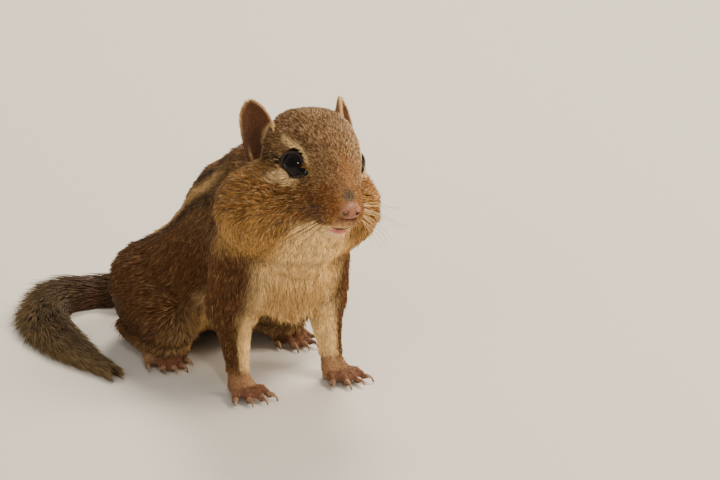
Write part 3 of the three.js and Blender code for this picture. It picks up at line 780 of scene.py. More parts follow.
def joined_mesh(name: str, meshes: list[bpy.types.Mesh], merge: float = 0.0) -> bpy.types.Mesh:
    """Several meshes in one.

    Args:
        name: the new mesh's name.
        meshes: what it joins.
        merge: corners nearer than this, in metres, are merged and the faces turned outwards, unless it is 0.
    """
    joined = bmesh.new()
    for mesh in meshes:
        joined.from_mesh(mesh)
    if merge:
        bmesh.ops.remove_doubles(joined, verts=joined.verts, dist=merge)
        bmesh.ops.recalc_face_normals(joined, faces=joined.faces)
    result = bpy.data.meshes.new(name)
    joined.to_mesh(result)
    joined.free()
    return result


def merged_copy(nodes: list[bpy.types.Object], name: str) -> bpy.types.Mesh:
    """Copies of CAD nodes in one mesh, with their shared corners merged."""
    return joined_mesh(name, [node.data for node in nodes], MERGE_DISTANCE)


def closed_mesh(name: str, places: Array, faces: list[tuple[int, ...]]) -> bpy.types.Mesh:
    """A mesh with smooth shading whose faces point outwards."""
    mesh = bpy.data.meshes.new(name)
    mesh.from_pydata([Vector(place) for place in places], [], faces)
    fixed = bmesh.new()
    fixed.from_mesh(mesh)
    bmesh.ops.recalc_face_normals(fixed, faces=fixed.faces)
    fixed.to_mesh(mesh)
    fixed.free()
    mesh.shade_smooth()
    return mesh


def rings_round(route: Array, ways: Array, above: tuple, radii: Array, sides: int) -> Array:
    """Rings of points round a route.

    Args:
        route: the axis.
        ways: the axis's directions.
        above: a direction that the axis never takes, from which each ring is turned.
        radii: the radius at each point.
        sides: how many points each ring has.

    Returns:
        An array of rings, points and coordinates.
    """
    side = unit(np.cross(ways, above))
    up = np.cross(side, ways)
    turns = np.linspace(0, 2 * math.pi, sides, endpoint=False)
    ring = side[:, None] * np.cos(turns)[None, :, None] + up[:, None] * np.sin(turns)[None, :, None]
    return route[:, None] + ring * radii[:, None, None]


def tube_faces(rings: int, sides: int, looped: bool = False) -> list[tuple[int, ...]]:
    """The faces of a tube, whose rings' points are followed by one point for each end unless it is looped."""
    faces = []
    for ring in range(rings if looped else rings - 1):
        first, second = ring * sides, (ring + 1) % rings * sides
        for i in range(sides):
            j = (i + 1) % sides
            faces.append((first + i, first + j, second + j, second + i))
    if not looped:
        start, last = rings * sides, (rings - 1) * sides
        for i in range(sides):
            j = (i + 1) % sides
            faces += [(start, j, i), (start + 1, last + i, last + j)]
    return faces


def rod(name: str, route: Array, radii: Array, sides: int) -> bpy.types.Mesh:
    """A closed rod along a route, in metres, with blunt ends.

    Args:
        name: the mesh's name.
        route: the axis.
        radii: the radius at each point.
        sides: how many sides it has.
    """
    ways = unit(np.gradient(route, axis=0))
    rings = rings_round(route, ways, (0.05, 0.1, 1.0), radii, sides)
    ends = [route[0] - ways[0] * radii[0] * 0.8, route[-1] + ways[-1] * radii[-1] * 0.8]
    return closed_mesh(name, np.vstack([rings.reshape(-1, 3), ends]), tube_faces(len(route), sides))


def dress(piece: bpy.types.Object, slot: str, *nodes: str) -> None:
    """Let a piece ride on the body and stand for CAD nodes, which it hides."""
    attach(piece, BODY)
    if nodes:
        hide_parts(*nodes)
    log.info("%s: %d triangles", piece.name, sum(len(face.vertices) - 2 for face in piece.data.polygons))


def relax(mesh: bpy.types.Mesh, places: Array, weight: Array, rounds: int) -> None:
    """Draw each vertex towards the mean of its neighbours.

    Args:
        mesh: the mesh that gives the neighbours.
        places: the vertices, changed in place.
        weight: how strongly each is drawn, from 0 to 1.
        rounds: how many times.
    """
    edges = np.zeros(len(mesh.edges) * 2, np.int32)
    mesh.edges.foreach_get("vertices", edges)
    edges = edges.reshape(-1, 2)
    size = len(places)
    neighbours = np.bincount(edges.ravel(), minlength=size)
    for _ in range(rounds):
        for axis in range(3):
            total = np.bincount(edges[:, 0], places[edges[:, 1], axis], size)
            total += np.bincount(edges[:, 1], places[edges[:, 0], axis], size)
            places[:, axis] += (total / neighbours - places[:, axis]) * weight * 0.6


@dataclass
class Skin:
    """One closed skin over all the flesh.

    Args:
        anatomy: the landmarks.
        pelt: the shared coat.
        voxel: size of the skin's mesh, in millimetres.
        closing: how far the pieces are let out so that the gaps between them close.
        smoothing: how many times the even mesh is smoothed.
        crease_rounds: how many times the fold under the throat is smoothed.
        shade: how much of the coat's light the skin under it keeps.
    """

    anatomy: Anatomy
    pelt: Pelt
    voxel: float = 0.6
    closing: float = 0.34
    smoothing: int = 7
    crease_rounds: int = 60
    shade: float = 0.8

    def build(self, nodes: dict[str, bpy.types.Object]) -> bpy.types.Object:
        """Make the skin from copies of the frame's flesh, and dress it."""
        mesh = self.closed_flesh(nodes)
        self.fill_creases(mesh)
        places, normals, survey = self.survey(mesh)
        inwards = (self.pelt.depth(survey) + self.closing + self.mouth_groove(survey)) * MM
        places -= normals * inwards[:, None]
        places[:, 2] = np.maximum(places[:, 2], 0)
        move(mesh, places)
        _, _, survey = self.survey(mesh)
        paint(mesh, self.pelt.colour(survey) * self.shade)
        piece = new_object("skin", mesh, SkinFinish().material("under_fur"))
        unwrap(piece)
        dress(piece, Area.TRUNK.value, *FLESH_NODES)
        return piece

    def closed_flesh(self, nodes: dict[str, bpy.types.Object]) -> bpy.types.Mesh:
        """Copies of the flesh, let out until they meet and made one even mesh."""
        # The nose fills its own socket, so that the skin runs on under it
        mesh = merged_copy([nodes[name] for name in [*FLESH_NODES, "nose"]], "skin")
        places, normals = vertices_of(mesh)
        move(mesh, places + normals * self.closing * MM)
        rough = new_object("skin_rough", mesh, SkinFinish().material("under_fur_rough"))
        remesh = rough.modifiers.new("remesh", "REMESH")
        remesh.mode = "VOXEL"
        remesh.voxel_size = self.voxel * MM
        smooth = rough.modifiers.new("smooth", "SMOOTH")
        smooth.factor = 0.5
        smooth.iterations = self.smoothing
        mesh = evaluated_copy(rough, "skin")
        bpy.data.objects.remove(rough)
        mesh.shade_smooth()
        return mesh

    def fill_creases(self, mesh: bpy.types.Mesh) -> None:
        """Smooth the fold between the throat and the chest."""
        places, _ = vertices_of(mesh)
        local = self.anatomy.to_head(self.anatomy.to_animal(places))
        relax(mesh, places, bump_at(local[:, 2], -27, 10) * ease(-7, -2, local[:, 1]), self.crease_rounds)
        move(mesh, places)

    def survey(self, mesh: bpy.types.Mesh) -> tuple[Array, Array, Survey]:
        """A mesh's vertices, their normals and what the coat needs to know of them."""
        places, normals = vertices_of(mesh)
        return places, normals, Survey(self.anatomy, self.anatomy.to_animal(places), normals)

    def mouth_groove(self, at: Survey) -> Array:
        """How deep the mouth's line is pressed in, with the lips a little raised on both sides of it."""
        off = at.hz - self.anatomy.mouth_line(at.hx)
        reach = ease(self.anatomy.mouth_half_width + 1.2, self.anatomy.mouth_half_width - 0.4, at.head_side)
        front = ease(-6, -9, at.hy) * at.head * reach
        return front * (0.9 * bump_at(off, 0, 0.9) - 0.3 * bump_at(np.abs(off), 1.2, 0.9))


def unwrap(piece: bpy.types.Object) -> None:
    """Unwrap a piece by its own shape into the map that the coat shares."""
    piece.data.uv_layers.new(name=UV_NAME)
    bpy.ops.object.select_all(action="DESELECT")
    piece.select_set(True)
    bpy.context.view_layer.objects.active = piece
    bpy.ops.object.mode_set(mode="EDIT")
    bpy.ops.mesh.select_all(action="SELECT")
    bpy.ops.uv.smart_project(angle_limit=math.radians(72), island_margin=0.002)
    bpy.ops.object.mode_set(mode="OBJECT")


@dataclass
class Roots:
    """Where tufts grow.

    Args:
        places: in millimetres of the animal's frame.
        normals: the skin's unit directions there.
        spots: the places on the skin's map.
    """

    places: Array
    normals: Array
    spots: Array


def scatter(piece: bpy.types.Object, count: int, weight: Weight, anatomy: Anatomy, seed: int) -> Roots:
    """Scatter roots over a mesh.

    Args:
        piece: the mesh object, with the map of the coat.
        count: how many roots.
        weight: gives how densely each place is planted, from its centre and normal.
        anatomy: the landmarks.
        seed: fixes the random draw.

    Returns:
        The roots, in millimetres of the animal's frame.
    """
    mesh = piece.data
    mesh.calc_loop_triangles()
    total = len(mesh.loop_triangles)
    corners = np.zeros(total * 3, np.int32)
    mesh.loop_triangles.foreach_get("vertices", corners)
    loops = np.zeros(total * 3, np.int32)
    mesh.loop_triangles.foreach_get("loops", loops)
    corners = corners.reshape(-1, 3)
    loops = loops.reshape(-1, 3)
    places, normals = vertices_of(mesh)
    places = anatomy.to_animal(places)
    spots = np.zeros(len(mesh.loops) * 2, np.float32)
    mesh.uv_layers[UV_NAME].data.foreach_get("uv", spots)
    spots = spots.reshape(-1, 2)
    a, b, c = (places[corners[:, i]] for i in range(3))
    cross = np.cross(b - a, c - a)
    areas = np.linalg.norm(cross, axis=1) / 2
    planted = areas * weight((a + b + c) / 3, unit(cross))
    random = np.random.default_rng(seed)
    chosen = random.choice(total, size=count, p=planted / planted.sum())
    first = np.sqrt(random.random(count))
    second = random.random(count)
    shares = np.stack([1 - first, first * (1 - second), first * second], axis=1)
    spot = (places[corners[chosen]] * shares[:, :, None]).sum(axis=1)
    way = unit((normals[corners[chosen]] * shares[:, :, None]).sum(axis=1))
    on_map = (spots[loops[chosen]] * shares[:, :, None]).sum(axis=1)
    return Roots(spot, way, on_map)


@dataclass
class Tufts:
    """Many tufts, each a closed, three-sided, tapered spike that bends over along the coat.

    Args:
        roots: where they grow.
        ways: unit directions along the skin.
        lengths: in millimetres.
        widths: half widths at the root, in millimetres.
        lifts: how steeply each starts, in radians.
        colours: linear colours at root, middle and tip.
        tip_shift: how far each tip is drawn aside.
        floor: the lowest height that a tuft reaches.
    """

    roots: Roots
    ways: Array
    lengths: Array
    widths: Array
    lifts: Array
    colours: tuple[Array, Array, Array]
    tip_shift: Array | None = None
    floor: float = 0.05

    ROOT_DEPTH: ClassVar = 0.12
    QUADS: ClassVar = ((0, 1, 4, 3), (1, 2, 5, 4), (2, 0, 3, 5))
    TRIANGLES: ClassVar = ((3, 4, 6), (4, 5, 6), (5, 3, 6), (0, 2, 1))
    MAP_PLACES: ClassVar = ((0, 0), (0.5, 0), (1, 0), (0, 0.5), (0.5, 0.5), (1, 0.5), (0.5, 1))

    def mesh(self, name: str, pick: Array, anatomy: Anatomy) -> bpy.types.Mesh:
        """Write some of the tufts as one mesh.

        Args:
            name: the mesh's name.
            pick: which tufts.
            anatomy: the landmarks.

        Returns:
            The mesh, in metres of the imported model.
        """
        root = self.roots.places[pick]
        normal = self.roots.normals[pick]
        way = self.ways[pick]
        length = self.lengths[pick][:, None]
        width = self.widths[pick][:, None]
        lift = self.lifts[pick][:, None]
        across = unit(np.cross(way, normal))
        middle = root + length * 0.5 * (way * np.cos(lift) + normal * np.sin(lift))
        tip = middle + length * 0.5 * (way * np.cos(lift * 0.35) + normal * np.sin(lift * 0.35))
        if self.tip_shift is not None:
            middle = middle + self.tip_shift[pick] * 0.4
            tip = tip + self.tip_shift[pick]
        base = root - normal * self.ROOT_DEPTH
        rings = []
        for centre, radius in ((base, width), (middle, width * 0.82)):
            for angle in (90, 210, 330):
                turn = math.radians(angle)
                rings.append(centre + radius * (across * math.cos(turn) + normal * math.sin(turn) * 0.7))
        corners = np.stack([*rings, tip], axis=1)
        corners[:, :, 2] = np.maximum(corners[:, :, 2], self.floor)
        count = len(root)
        faces = [*self.QUADS, *self.TRIANGLES]
        per_tuft = len(self.MAP_PLACES)
        loops = (np.arange(count)[:, None] * per_tuft + np.concatenate(faces)).ravel().astype(np.int32)
        sizes = np.tile(np.array([len(face) for face in faces], np.int32), count)
        starts = np.concatenate([[0], np.cumsum(sizes)[:-1]]).astype(np.int32)
        mesh = bpy.data.meshes.new(name)
        mesh.vertices.add(count * per_tuft)
        mesh.loops.add(len(loops))
        mesh.polygons.add(len(sizes))
        mesh.vertices.foreach_set("co", anatomy.to_world(corners.reshape(-1, 3)).astype(np.float32).ravel())
        mesh.loops.foreach_set("vertex_index", loops)
        mesh.polygons.foreach_set("loop_start", starts)
        mesh.polygons.foreach_set("loop_total", sizes)
        mesh.update(calc_edges=True)
        low, high, end = (colour[pick] for colour in self.colours)
        paint(mesh, np.stack([low] * 3 + [high] * 3 + [end], axis=1).reshape(-1, 3))
        patch = (np.array(self.MAP_PLACES) - 0.5) * UV_PATCH
        spots = self.roots.spots[pick][:, None, :] + patch
        layer = mesh.uv_layers.new(name=UV_NAME)
        layer.data.foreach_set("uv", spots.reshape(-1, 2)[loops].astype(np.float32).ravel())
        mesh.shade_smooth()
        return mesh


@dataclass
class Coat:
    """The fur over the skin.

    Args:
        anatomy: the landmarks.
        pelt: the shared colours, lengths and lie.
        count: how many tufts.
        clump: how far apart the tips gather.
        guard_share: how much of the coat is longer, slimmer guard hair.
        root_seed: fixes where the tufts stand.
        seed: fixes how they vary.
    """

    anatomy: Anatomy
    pelt: Pelt
    count: int = 116000
    clump: float = 2.1
    guard_share: float = 0.06
    root_seed: int = 3
    seed: int = 17

    TICKING: ClassVar = (222, 184, 128)

    def planting(self, places: Array, normals: Array) -> Array:
        """How densely each place is planted: the face most, bare places not at all."""
        at = Survey(self.anatomy, places, normals)
        dense = 1.0 + 0.9 * at.head + 1.0 * at.head * ease(2, -10, at.hy)
        dense += 0.5 * np.maximum(at.forearm, at.paw)
        dense *= np.where(places[:, 2] < 1.0, 0.25, 1.0)
        tips = places + self.pelt.lie(at) * (self.pelt.length(at) * 0.75)[:, None]
        for side in SIDES.values():
            for spots in (places, tips):
                away = np.linalg.norm(spots - self.anatomy.eye(side), axis=1)
                dense *= ease(self.anatomy.eye_radius - 0.3, self.anatomy.eye_radius + 0.3, away)
            dense *= ease(1.2, 1.8, np.linalg.norm(places - self.anatomy.eye_corner(side), axis=1))
        nose = np.array([[0, -self.anatomy.nose_tip + 2.2, -self.anatomy.nose_drop]])
        nose = self.anatomy.from_head(nose)[0]
        dense *= ease(2.7, 3.4, np.linalg.norm(places - nose, axis=1))
        off = np.abs(at.hz - self.anatomy.mouth_line(at.hx) + 0.3)
        lips = ease(1.5, 1.0, off) * ease(-7, -9, at.hy) * ease(5, 4, at.head_side) * at.head
        claws = np.maximum(at.paw, at.hindfoot) * ease(2.6, 1.6, places[:, 2])
        return dense * (1 - 0.85 * claws) * (1 - lips)

    def build(self, skin: bpy.types.Object) -> None:
        """Grow the coat over the skin."""
        roots = scatter(skin, self.count, self.planting, self.anatomy, self.root_seed)
        at = Survey(self.anatomy, roots.places, roots.normals)
        random = np.random.default_rng(self.seed)
        count = self.count
        way = self.pelt.lie(at)
        across = np.cross(roots.normals, way)
        sway = sine_noise(roots.places, 7, 21) * 0.22 + random.normal(0, 0.16, count)
        way = unit(way + across * sway[:, None])
        long_hair = random.random(count) < self.guard_share
        length = self.pelt.length(at) * random.uniform(0.75, 1.15, count) * np.where(long_hair, 1.3, 1.0)
        width = 0.10 + 0.028 * np.minimum(self.pelt.length(at), 4.2)
        width *= random.uniform(0.75, 1.15, count) * np.where(long_hair, 0.7, 1.0) * (1 - 0.25 * at.pale)
        lift = np.radians(random.uniform(15, 34, count)) + np.radians(4) * sine_noise(roots.places, 5, 33)
        shift = self.gathering(roots.places, roots.normals, length)
        colours = self.shades(at, random, long_hair)
        tufts = Tufts(roots, way, length, width, lift, colours, shift)
        finish = FurFinish().material("fur")
        areas = at.area()
        for place, area in enumerate(Area):
            chosen = np.nonzero(areas == place)[0]
            parts = max(1, math.ceil(len(chosen) / TUFTS_PER_PIECE))
            for part in range(parts):
                name = f"coat_{area.name.lower()}_{part + 1}"
                mesh = tufts.mesh(name, chosen[part::parts], self.anatomy)
                dress(new_object(name, mesh, finish), area.value)

    def gathering(self, places: Array, normals: Array, length: Array) -> Array:
        """How far each tip is drawn towards the middle of its clump.

        Args:
            places: the roots.
            normals: the skin's directions there.
            length: the tufts' lengths.
        """
        cell = np.floor(places / self.clump + 0.5 * np.sin(places[:, [1, 2, 0]] * 1.7))
        seeds = (cell @ np.array([127.1, 311.7, 74.7]))[:, None] + np.array([0.0, 19.19, 47.43])
        jitter = np.modf(np.abs(np.sin(seeds) * 43758.5453))[0] - 0.5
        middle = (cell + 0.5 * jitter) * self.clump
        pull = middle - places
        pull -= (pull * normals).sum(axis=1, keepdims=True) * normals
        strength = np.clip(length / 12.0, 0, 0.3)[:, None]
        return pull * strength

    def shades(self, at: Survey, random: np.random.Generator, long_hair: Array) -> tuple[Array, Array, Array]:
        """Colours dark at the root, from banding and painted shade, with pale and dark tips where the coat is
        grizzled.

        Args:
            at: the surveyed roots.
            random: the seeded draw.
            long_hair: which tufts are guard hairs.

        Returns:
            Linear colours at the root, the middle and the tip.
        """
        count = len(at.points)
        base = self.pelt.colour(at)
        spread = 0.22 + 0.2 * at.head
        base = base * (1 + spread * random.uniform(-1, 1, count))[:, None]
        base = base * (1 + 0.12 * sine_noise(at.points, 4, 41))[:, None]
        brightness = base.mean(axis=1)
        grizzle = ease(0.5, 0.25, brightness) * (1 - at.pale)
        on_top = at.head * ease(-9, -3, at.hz)
        pale_tip = (random.random(count) < 0.2 + 0.18 * on_top) * grizzle
        dark_tip = ((random.random(count) < 0.2 + 0.18 * on_top) | long_hair) * grizzle * (1 - pale_tip)
        ticking = srgb(*self.TICKING)
        tip = base * 1.15
        tip = tip + (ticking - tip) * ((0.72 + 0.2 * at.head) * pale_tip)[:, None]
        tip = tip * (1 - (0.66 + 0.14 * at.head) * dark_tip)[:, None]
        middle = base + (ticking * 0.8 - base) * (0.45 * pale_tip * at.head)[:, None]
        middle = middle * (1 - 0.5 * dark_tip * at.head)[:, None]
        # The darker root is partly the hair's own banding and partly painted shade between the tufts
        root = base * (0.5 + 0.4 * ease(0.18, 0.45, brightness))[:, None]
        return root, middle, tip


@dataclass
class Tail:
    """The tail: a slim core and long hair banded rufous, black and frost.

    Args:
        anatomy: the landmarks.
        pelt: the shared colours.
        core_radius: the size that the core's radius is taken from.
        hair: the longest hair.
        hair_width: half the width of a tuft.
        count: how many tufts.
        seed: fixes how they vary.
        route: points of the axis after the rump.
    """

    anatomy: Anatomy
    pelt: Pelt
    core_radius: float = 3.9
    hair: float = 14.5
    hair_width: float = 0.2
    count: int = 19500
    seed: int = 71
    route: tuple = (
        (0, 36, 10),
        (-1.5, 46, 6.5),
        (-8, 54.5, 3.3),
        (-19, 57, 3.0),
        (-29, 51.5, 2.8),
        (-35.5, 41, 2.5),
        (-39, 28, 2.3),
        (-40, 14.5, 2.1),
        (-39.5, 1, 1.9),
    )

    def axis(self, shares: Array) -> tuple[Array, Array]:
        """Points and unit directions of a smooth curve through the route, at shares of its way."""
        points = np.array(self.route, float)
        padded = np.vstack([2 * points[0] - points[1], points, 2 * points[-1] - points[-2]])
        steps = np.linalg.norm(np.diff(points, axis=0), axis=1)
        marks = np.concatenate([[0], np.cumsum(steps)]) / steps.sum()
        place = np.clip(shares, 0, 1)
        spans = np.clip(np.searchsorted(marks, place, side="right") - 1, 0, len(steps) - 1)
        t = ((place - marks[spans]) / (marks[spans + 1] - marks[spans]))[:, None]
        p0, p1, p2, p3 = (padded[spans + i] for i in range(4))
        linear = p2 - p0
        square = 2 * p0 - 5 * p1 + 4 * p2 - p3
        cube = 3 * p1 - p0 - 3 * p2 + p3
        curve = 0.5 * (2 * p1 + linear * t + square * t**2 + cube * t**3)
        way = unit(0.5 * (linear + 2 * square * t + 3 * cube * t**2))
        beyond = np.maximum(shares - 1, 0)[:, None] * steps.sum()
        return curve + way * beyond, way

    def radius(self, shares: Array) -> Array:
        """The core's radius at shares of its way."""
        return self.core_radius * 0.72 * (1 - 0.55 * np.clip(shares, 0, 1))

    def core(self) -> bpy.types.Object:
        """The tail's core as a closed tapered tube."""
        steps, sides, lowest, tip = 60, 14, 0.2, 1.5
        shares = np.linspace(0, 1, steps)
        centre, way = self.axis(shares)
        places = rings_round(centre, way, (0, 0, 1), self.radius(shares), sides)
        places[:, :, 2] = np.maximum(places[:, :, 2], lowest)
        points = np.vstack([places.reshape(-1, 3), centre[:1], centre[-1:] + way[-1:] * tip])
        mesh = closed_mesh("tail_core", self.anatomy.to_world(points), tube_faces(steps, sides))
        # The core takes the tail's root colour darkened as painted shade under the hair
        paint(mesh, np.tile(srgb(*self.pelt.tail_root) * 0.7, (len(points), 1)))
        piece = new_object("tail_core", mesh, SkinFinish().material("tail_under_fur"))
        dress(piece, "tail", *TAIL_NODES)
        return piece

    def coat(self) -> bpy.types.Object:
        """The long hair of the tail, lying back along it and fuller at its sides."""
        random = np.random.default_rng(self.seed)
        count = self.count
        shares = 0.015 + 0.995 * random.random(count) ** 0.95
        centre, way = self.axis(shares)
        side = unit(np.cross(way, [0, 0, 1]))
        up = np.cross(side, way)
        around = np.radians(random.uniform(-35, 215, count))
        outward = side * np.cos(around)[:, None] + up * np.sin(around)[:, None]
        radius = self.radius(shares)
        root = centre + outward * (radius * 0.85)[:, None]
        fullness = 0.55 + 0.45 * np.sin(np.pi * np.clip(shares * 0.8 + 0.12, 0, 1)) ** 0.7
        flatness = 0.72 + 0.28 * np.abs(np.cos(around))
        length = self.hair * fullness * flatness * random.uniform(0.75, 1.12, count)
        length *= ease(-0.06, 0.16, shares) * 0.5 + 0.5
        lift = np.radians(random.uniform(20, 44, count)) * (1 - 0.72 * ease(0.62, 1.0, shares))
        sway = random.normal(0, 0.08, count) + 0.1 * np.sin(shares * 90)
        lie = unit(way + np.cross(way, outward) * sway[:, None])
        share_round = np.modf(around / (2 * math.pi) + 1)[0]
        spots = np.stack([0.05 + 0.9 * np.clip(shares, 0, 1), share_round * 0.9 + 0.05], axis=1)
        roots = Roots(root, outward, spots)
        pelt = self.pelt
        tone = random.uniform(0.75, 1.25, count)[:, None]
        frost = (0.45 + 0.55 * (random.random(count) < 0.5))[:, None]
        edge = np.abs(np.cos(around))[:, None]
        rufous, dark, pale = srgb(*pelt.tail_root), srgb(*pelt.tail_dark), srgb(*pelt.tail_tip)
        tip = dark + (pale - dark) * frost * (0.35 + 0.65 * edge)
        colours = (rufous * tone, dark * tone * 1.1 + rufous * 0.12, tip * tone)
        width = self.hair_width * random.uniform(0.8, 1.2, count)
        bend = way * (length * 0.06)[:, None] - np.array([0, 0, 1.0]) * (length * 0.05)[:, None]
        tufts = Tufts(roots, lie, length, width, lift, colours, bend, 0.1)
        mesh = tufts.mesh("coat_tail", np.arange(count), self.anatomy)
        piece = new_object("coat_tail", mesh, FurFinish(variation=0.3).material("tail_hair"))
        dress(piece, "tail")
        return piece


@dataclass
class Eyes:
    """The glossy eyeballs, with a deep brown iris and the dark rim of the lids.

    Args:
        anatomy: the landmarks.
        ball_radius: the eyeball's radius.
        segments: the eyeball's segments round and down.
        facing: the left eye's direction, in the head's frame.
        lid_width: half the length of the lids' ring.
        lid_height: half its height.
        lid_thickness: the radius of its rim.
        lid_steps: the ring's segments along and round.
        bead_radius: the radius of the inner corner's bead, before it is stretched.
        bead_stretch: how much it is stretched along, across and through.
    """

    anatomy: Anatomy
    ball_radius: float = 4.1
    segments: tuple[int, int] = (48, 28)
    facing: tuple[float, float, float] = (0.86, -0.48, 0.15)
    lid_width: float = 3.75
    lid_height: float = 3.4
    lid_thickness: float = 0.5
    lid_steps: tuple[int, int] = (44, 8)
    bead_radius: float = 1.35
    bead_stretch: tuple[float, float, float] = (2.0, 1.1, 0.95)

    BLACK: ClassVar = (6, 4, 3)
    IRIS: ClassVar = (20, 11, 7)

    def build(self, name: str, side: int) -> None:
        """Make one eye.

        Args:
            name: the side's name.
            side: -1 for right and 1 for left.
        """
        anatomy = self.anatomy
        centre = anatomy.eye(side)
        x, y, z = self.facing
        facing = anatomy.head_way(side * x, y, z)
        ball = bmesh.new()
        across, down = self.segments
        bmesh.ops.create_uvsphere(ball, u_segments=across, v_segments=down, radius=self.ball_radius)
        mesh = bpy.data.meshes.new(f"eyeball_{name}")
        ball.to_mesh(mesh)
        ball.free()
        places, _ = vertices_of(mesh)
        height = places[:, 2] / self.ball_radius
        iris = ease(0.45, 0.62, height) * ease(0.9, 0.74, height)
        turn = np.array(Vector((0, 0, 1)).rotation_difference(Vector(facing)).to_matrix())
        move(mesh, anatomy.to_world(places @ turn.T + centre))
        corner = anatomy.eye_corner(side)
        self.add_corner(mesh, corner, unit(corner - centre - facing * 1.2))
        colours = np.tile(srgb(*self.BLACK), (len(mesh.vertices), 1))
        colours[: len(iris)] = mixed(colours[: len(iris)], srgb(*self.IRIS), iris)
        paint(mesh, colours)
        piece = new_object(f"eyeball_{name}", mesh, EyeFinish().material(f"eye_gloss_{name}"))
        dress(piece, "eye", f"eye_{name}")
        self.lids(name, centre, facing)

    def add_corner(self, mesh: bpy.types.Mesh, place: Array, across: Array) -> None:
        """Fill the eye's inner corner with a small dark bead.

        Args:
            mesh: the eyeball's mesh, which takes it in.
            place: the bead's middle.
            across: the way that it is longest.
        """
        bead = bmesh.new()
        bead.from_mesh(mesh)
        turn = Vector((1, 0, 0)).rotation_difference(Vector(across)).to_matrix().to_4x4()
        middle = Matrix.Translation(Vector(self.anatomy.to_world(place)))
        shape = middle @ turn @ Matrix.Diagonal((*self.bead_stretch, 1))
        bmesh.ops.create_icosphere(bead, subdivisions=3, radius=self.bead_radius * MM, matrix=shape)
        bead.to_mesh(mesh)
        bead.free()
        mesh.shade_smooth()

    def lids(self, name: str, centre: Array, facing: Array) -> None:
        """A thin dark almond rim of bare lid round the eye.

        Args:
            name: the side's name.
            centre: the eyeball's centre.
            facing: the way that it looks.
        """
        anatomy = self.anatomy
        front = anatomy.head_way(0, -1, -0.34)
        across = unit(front - (front @ facing) * facing)
        upward = np.cross(facing, across)
        out = math.sqrt(anatomy.eye_radius**2 - self.lid_width**2)
        thick = self.lid_thickness
        around, sides = self.lid_steps
        rings = []
        for k in range(around):
            angle = 2 * math.pi * k / around
            corner = math.cos(angle)
            long = self.lid_width * (1 + 0.08 * max(corner, 0) ** 5 + 0.08 * max(-corner, 0) ** 4)
            rise = self.lid_height * math.sin(angle) * (1 - 0.12 * max(corner, 0))
            middle = centre + across * long * corner + upward * rise + facing * out
            outward = unit(across * corner + upward * math.sin(angle))
            for i in range(sides):
                turn = 2 * math.pi * i / sides
                aside, ahead = math.cos(turn) * thick, math.sin(turn) * thick * 0.8
                rings.append(middle + outward * aside + facing * ahead)
        faces = tube_faces(around, sides, looped=True)
        mesh = closed_mesh(f"lids_{name}", anatomy.to_world(np.array(rings)), faces)
        finish = BareFinish(light=(46, 29, 18), dark=(26, 16, 10), roughness=0.75, subsurface=0.0)
        piece = new_object(f"lids_{name}", mesh, finish.material(f"lid_skin_{name}"))
        dress(piece, "eye")


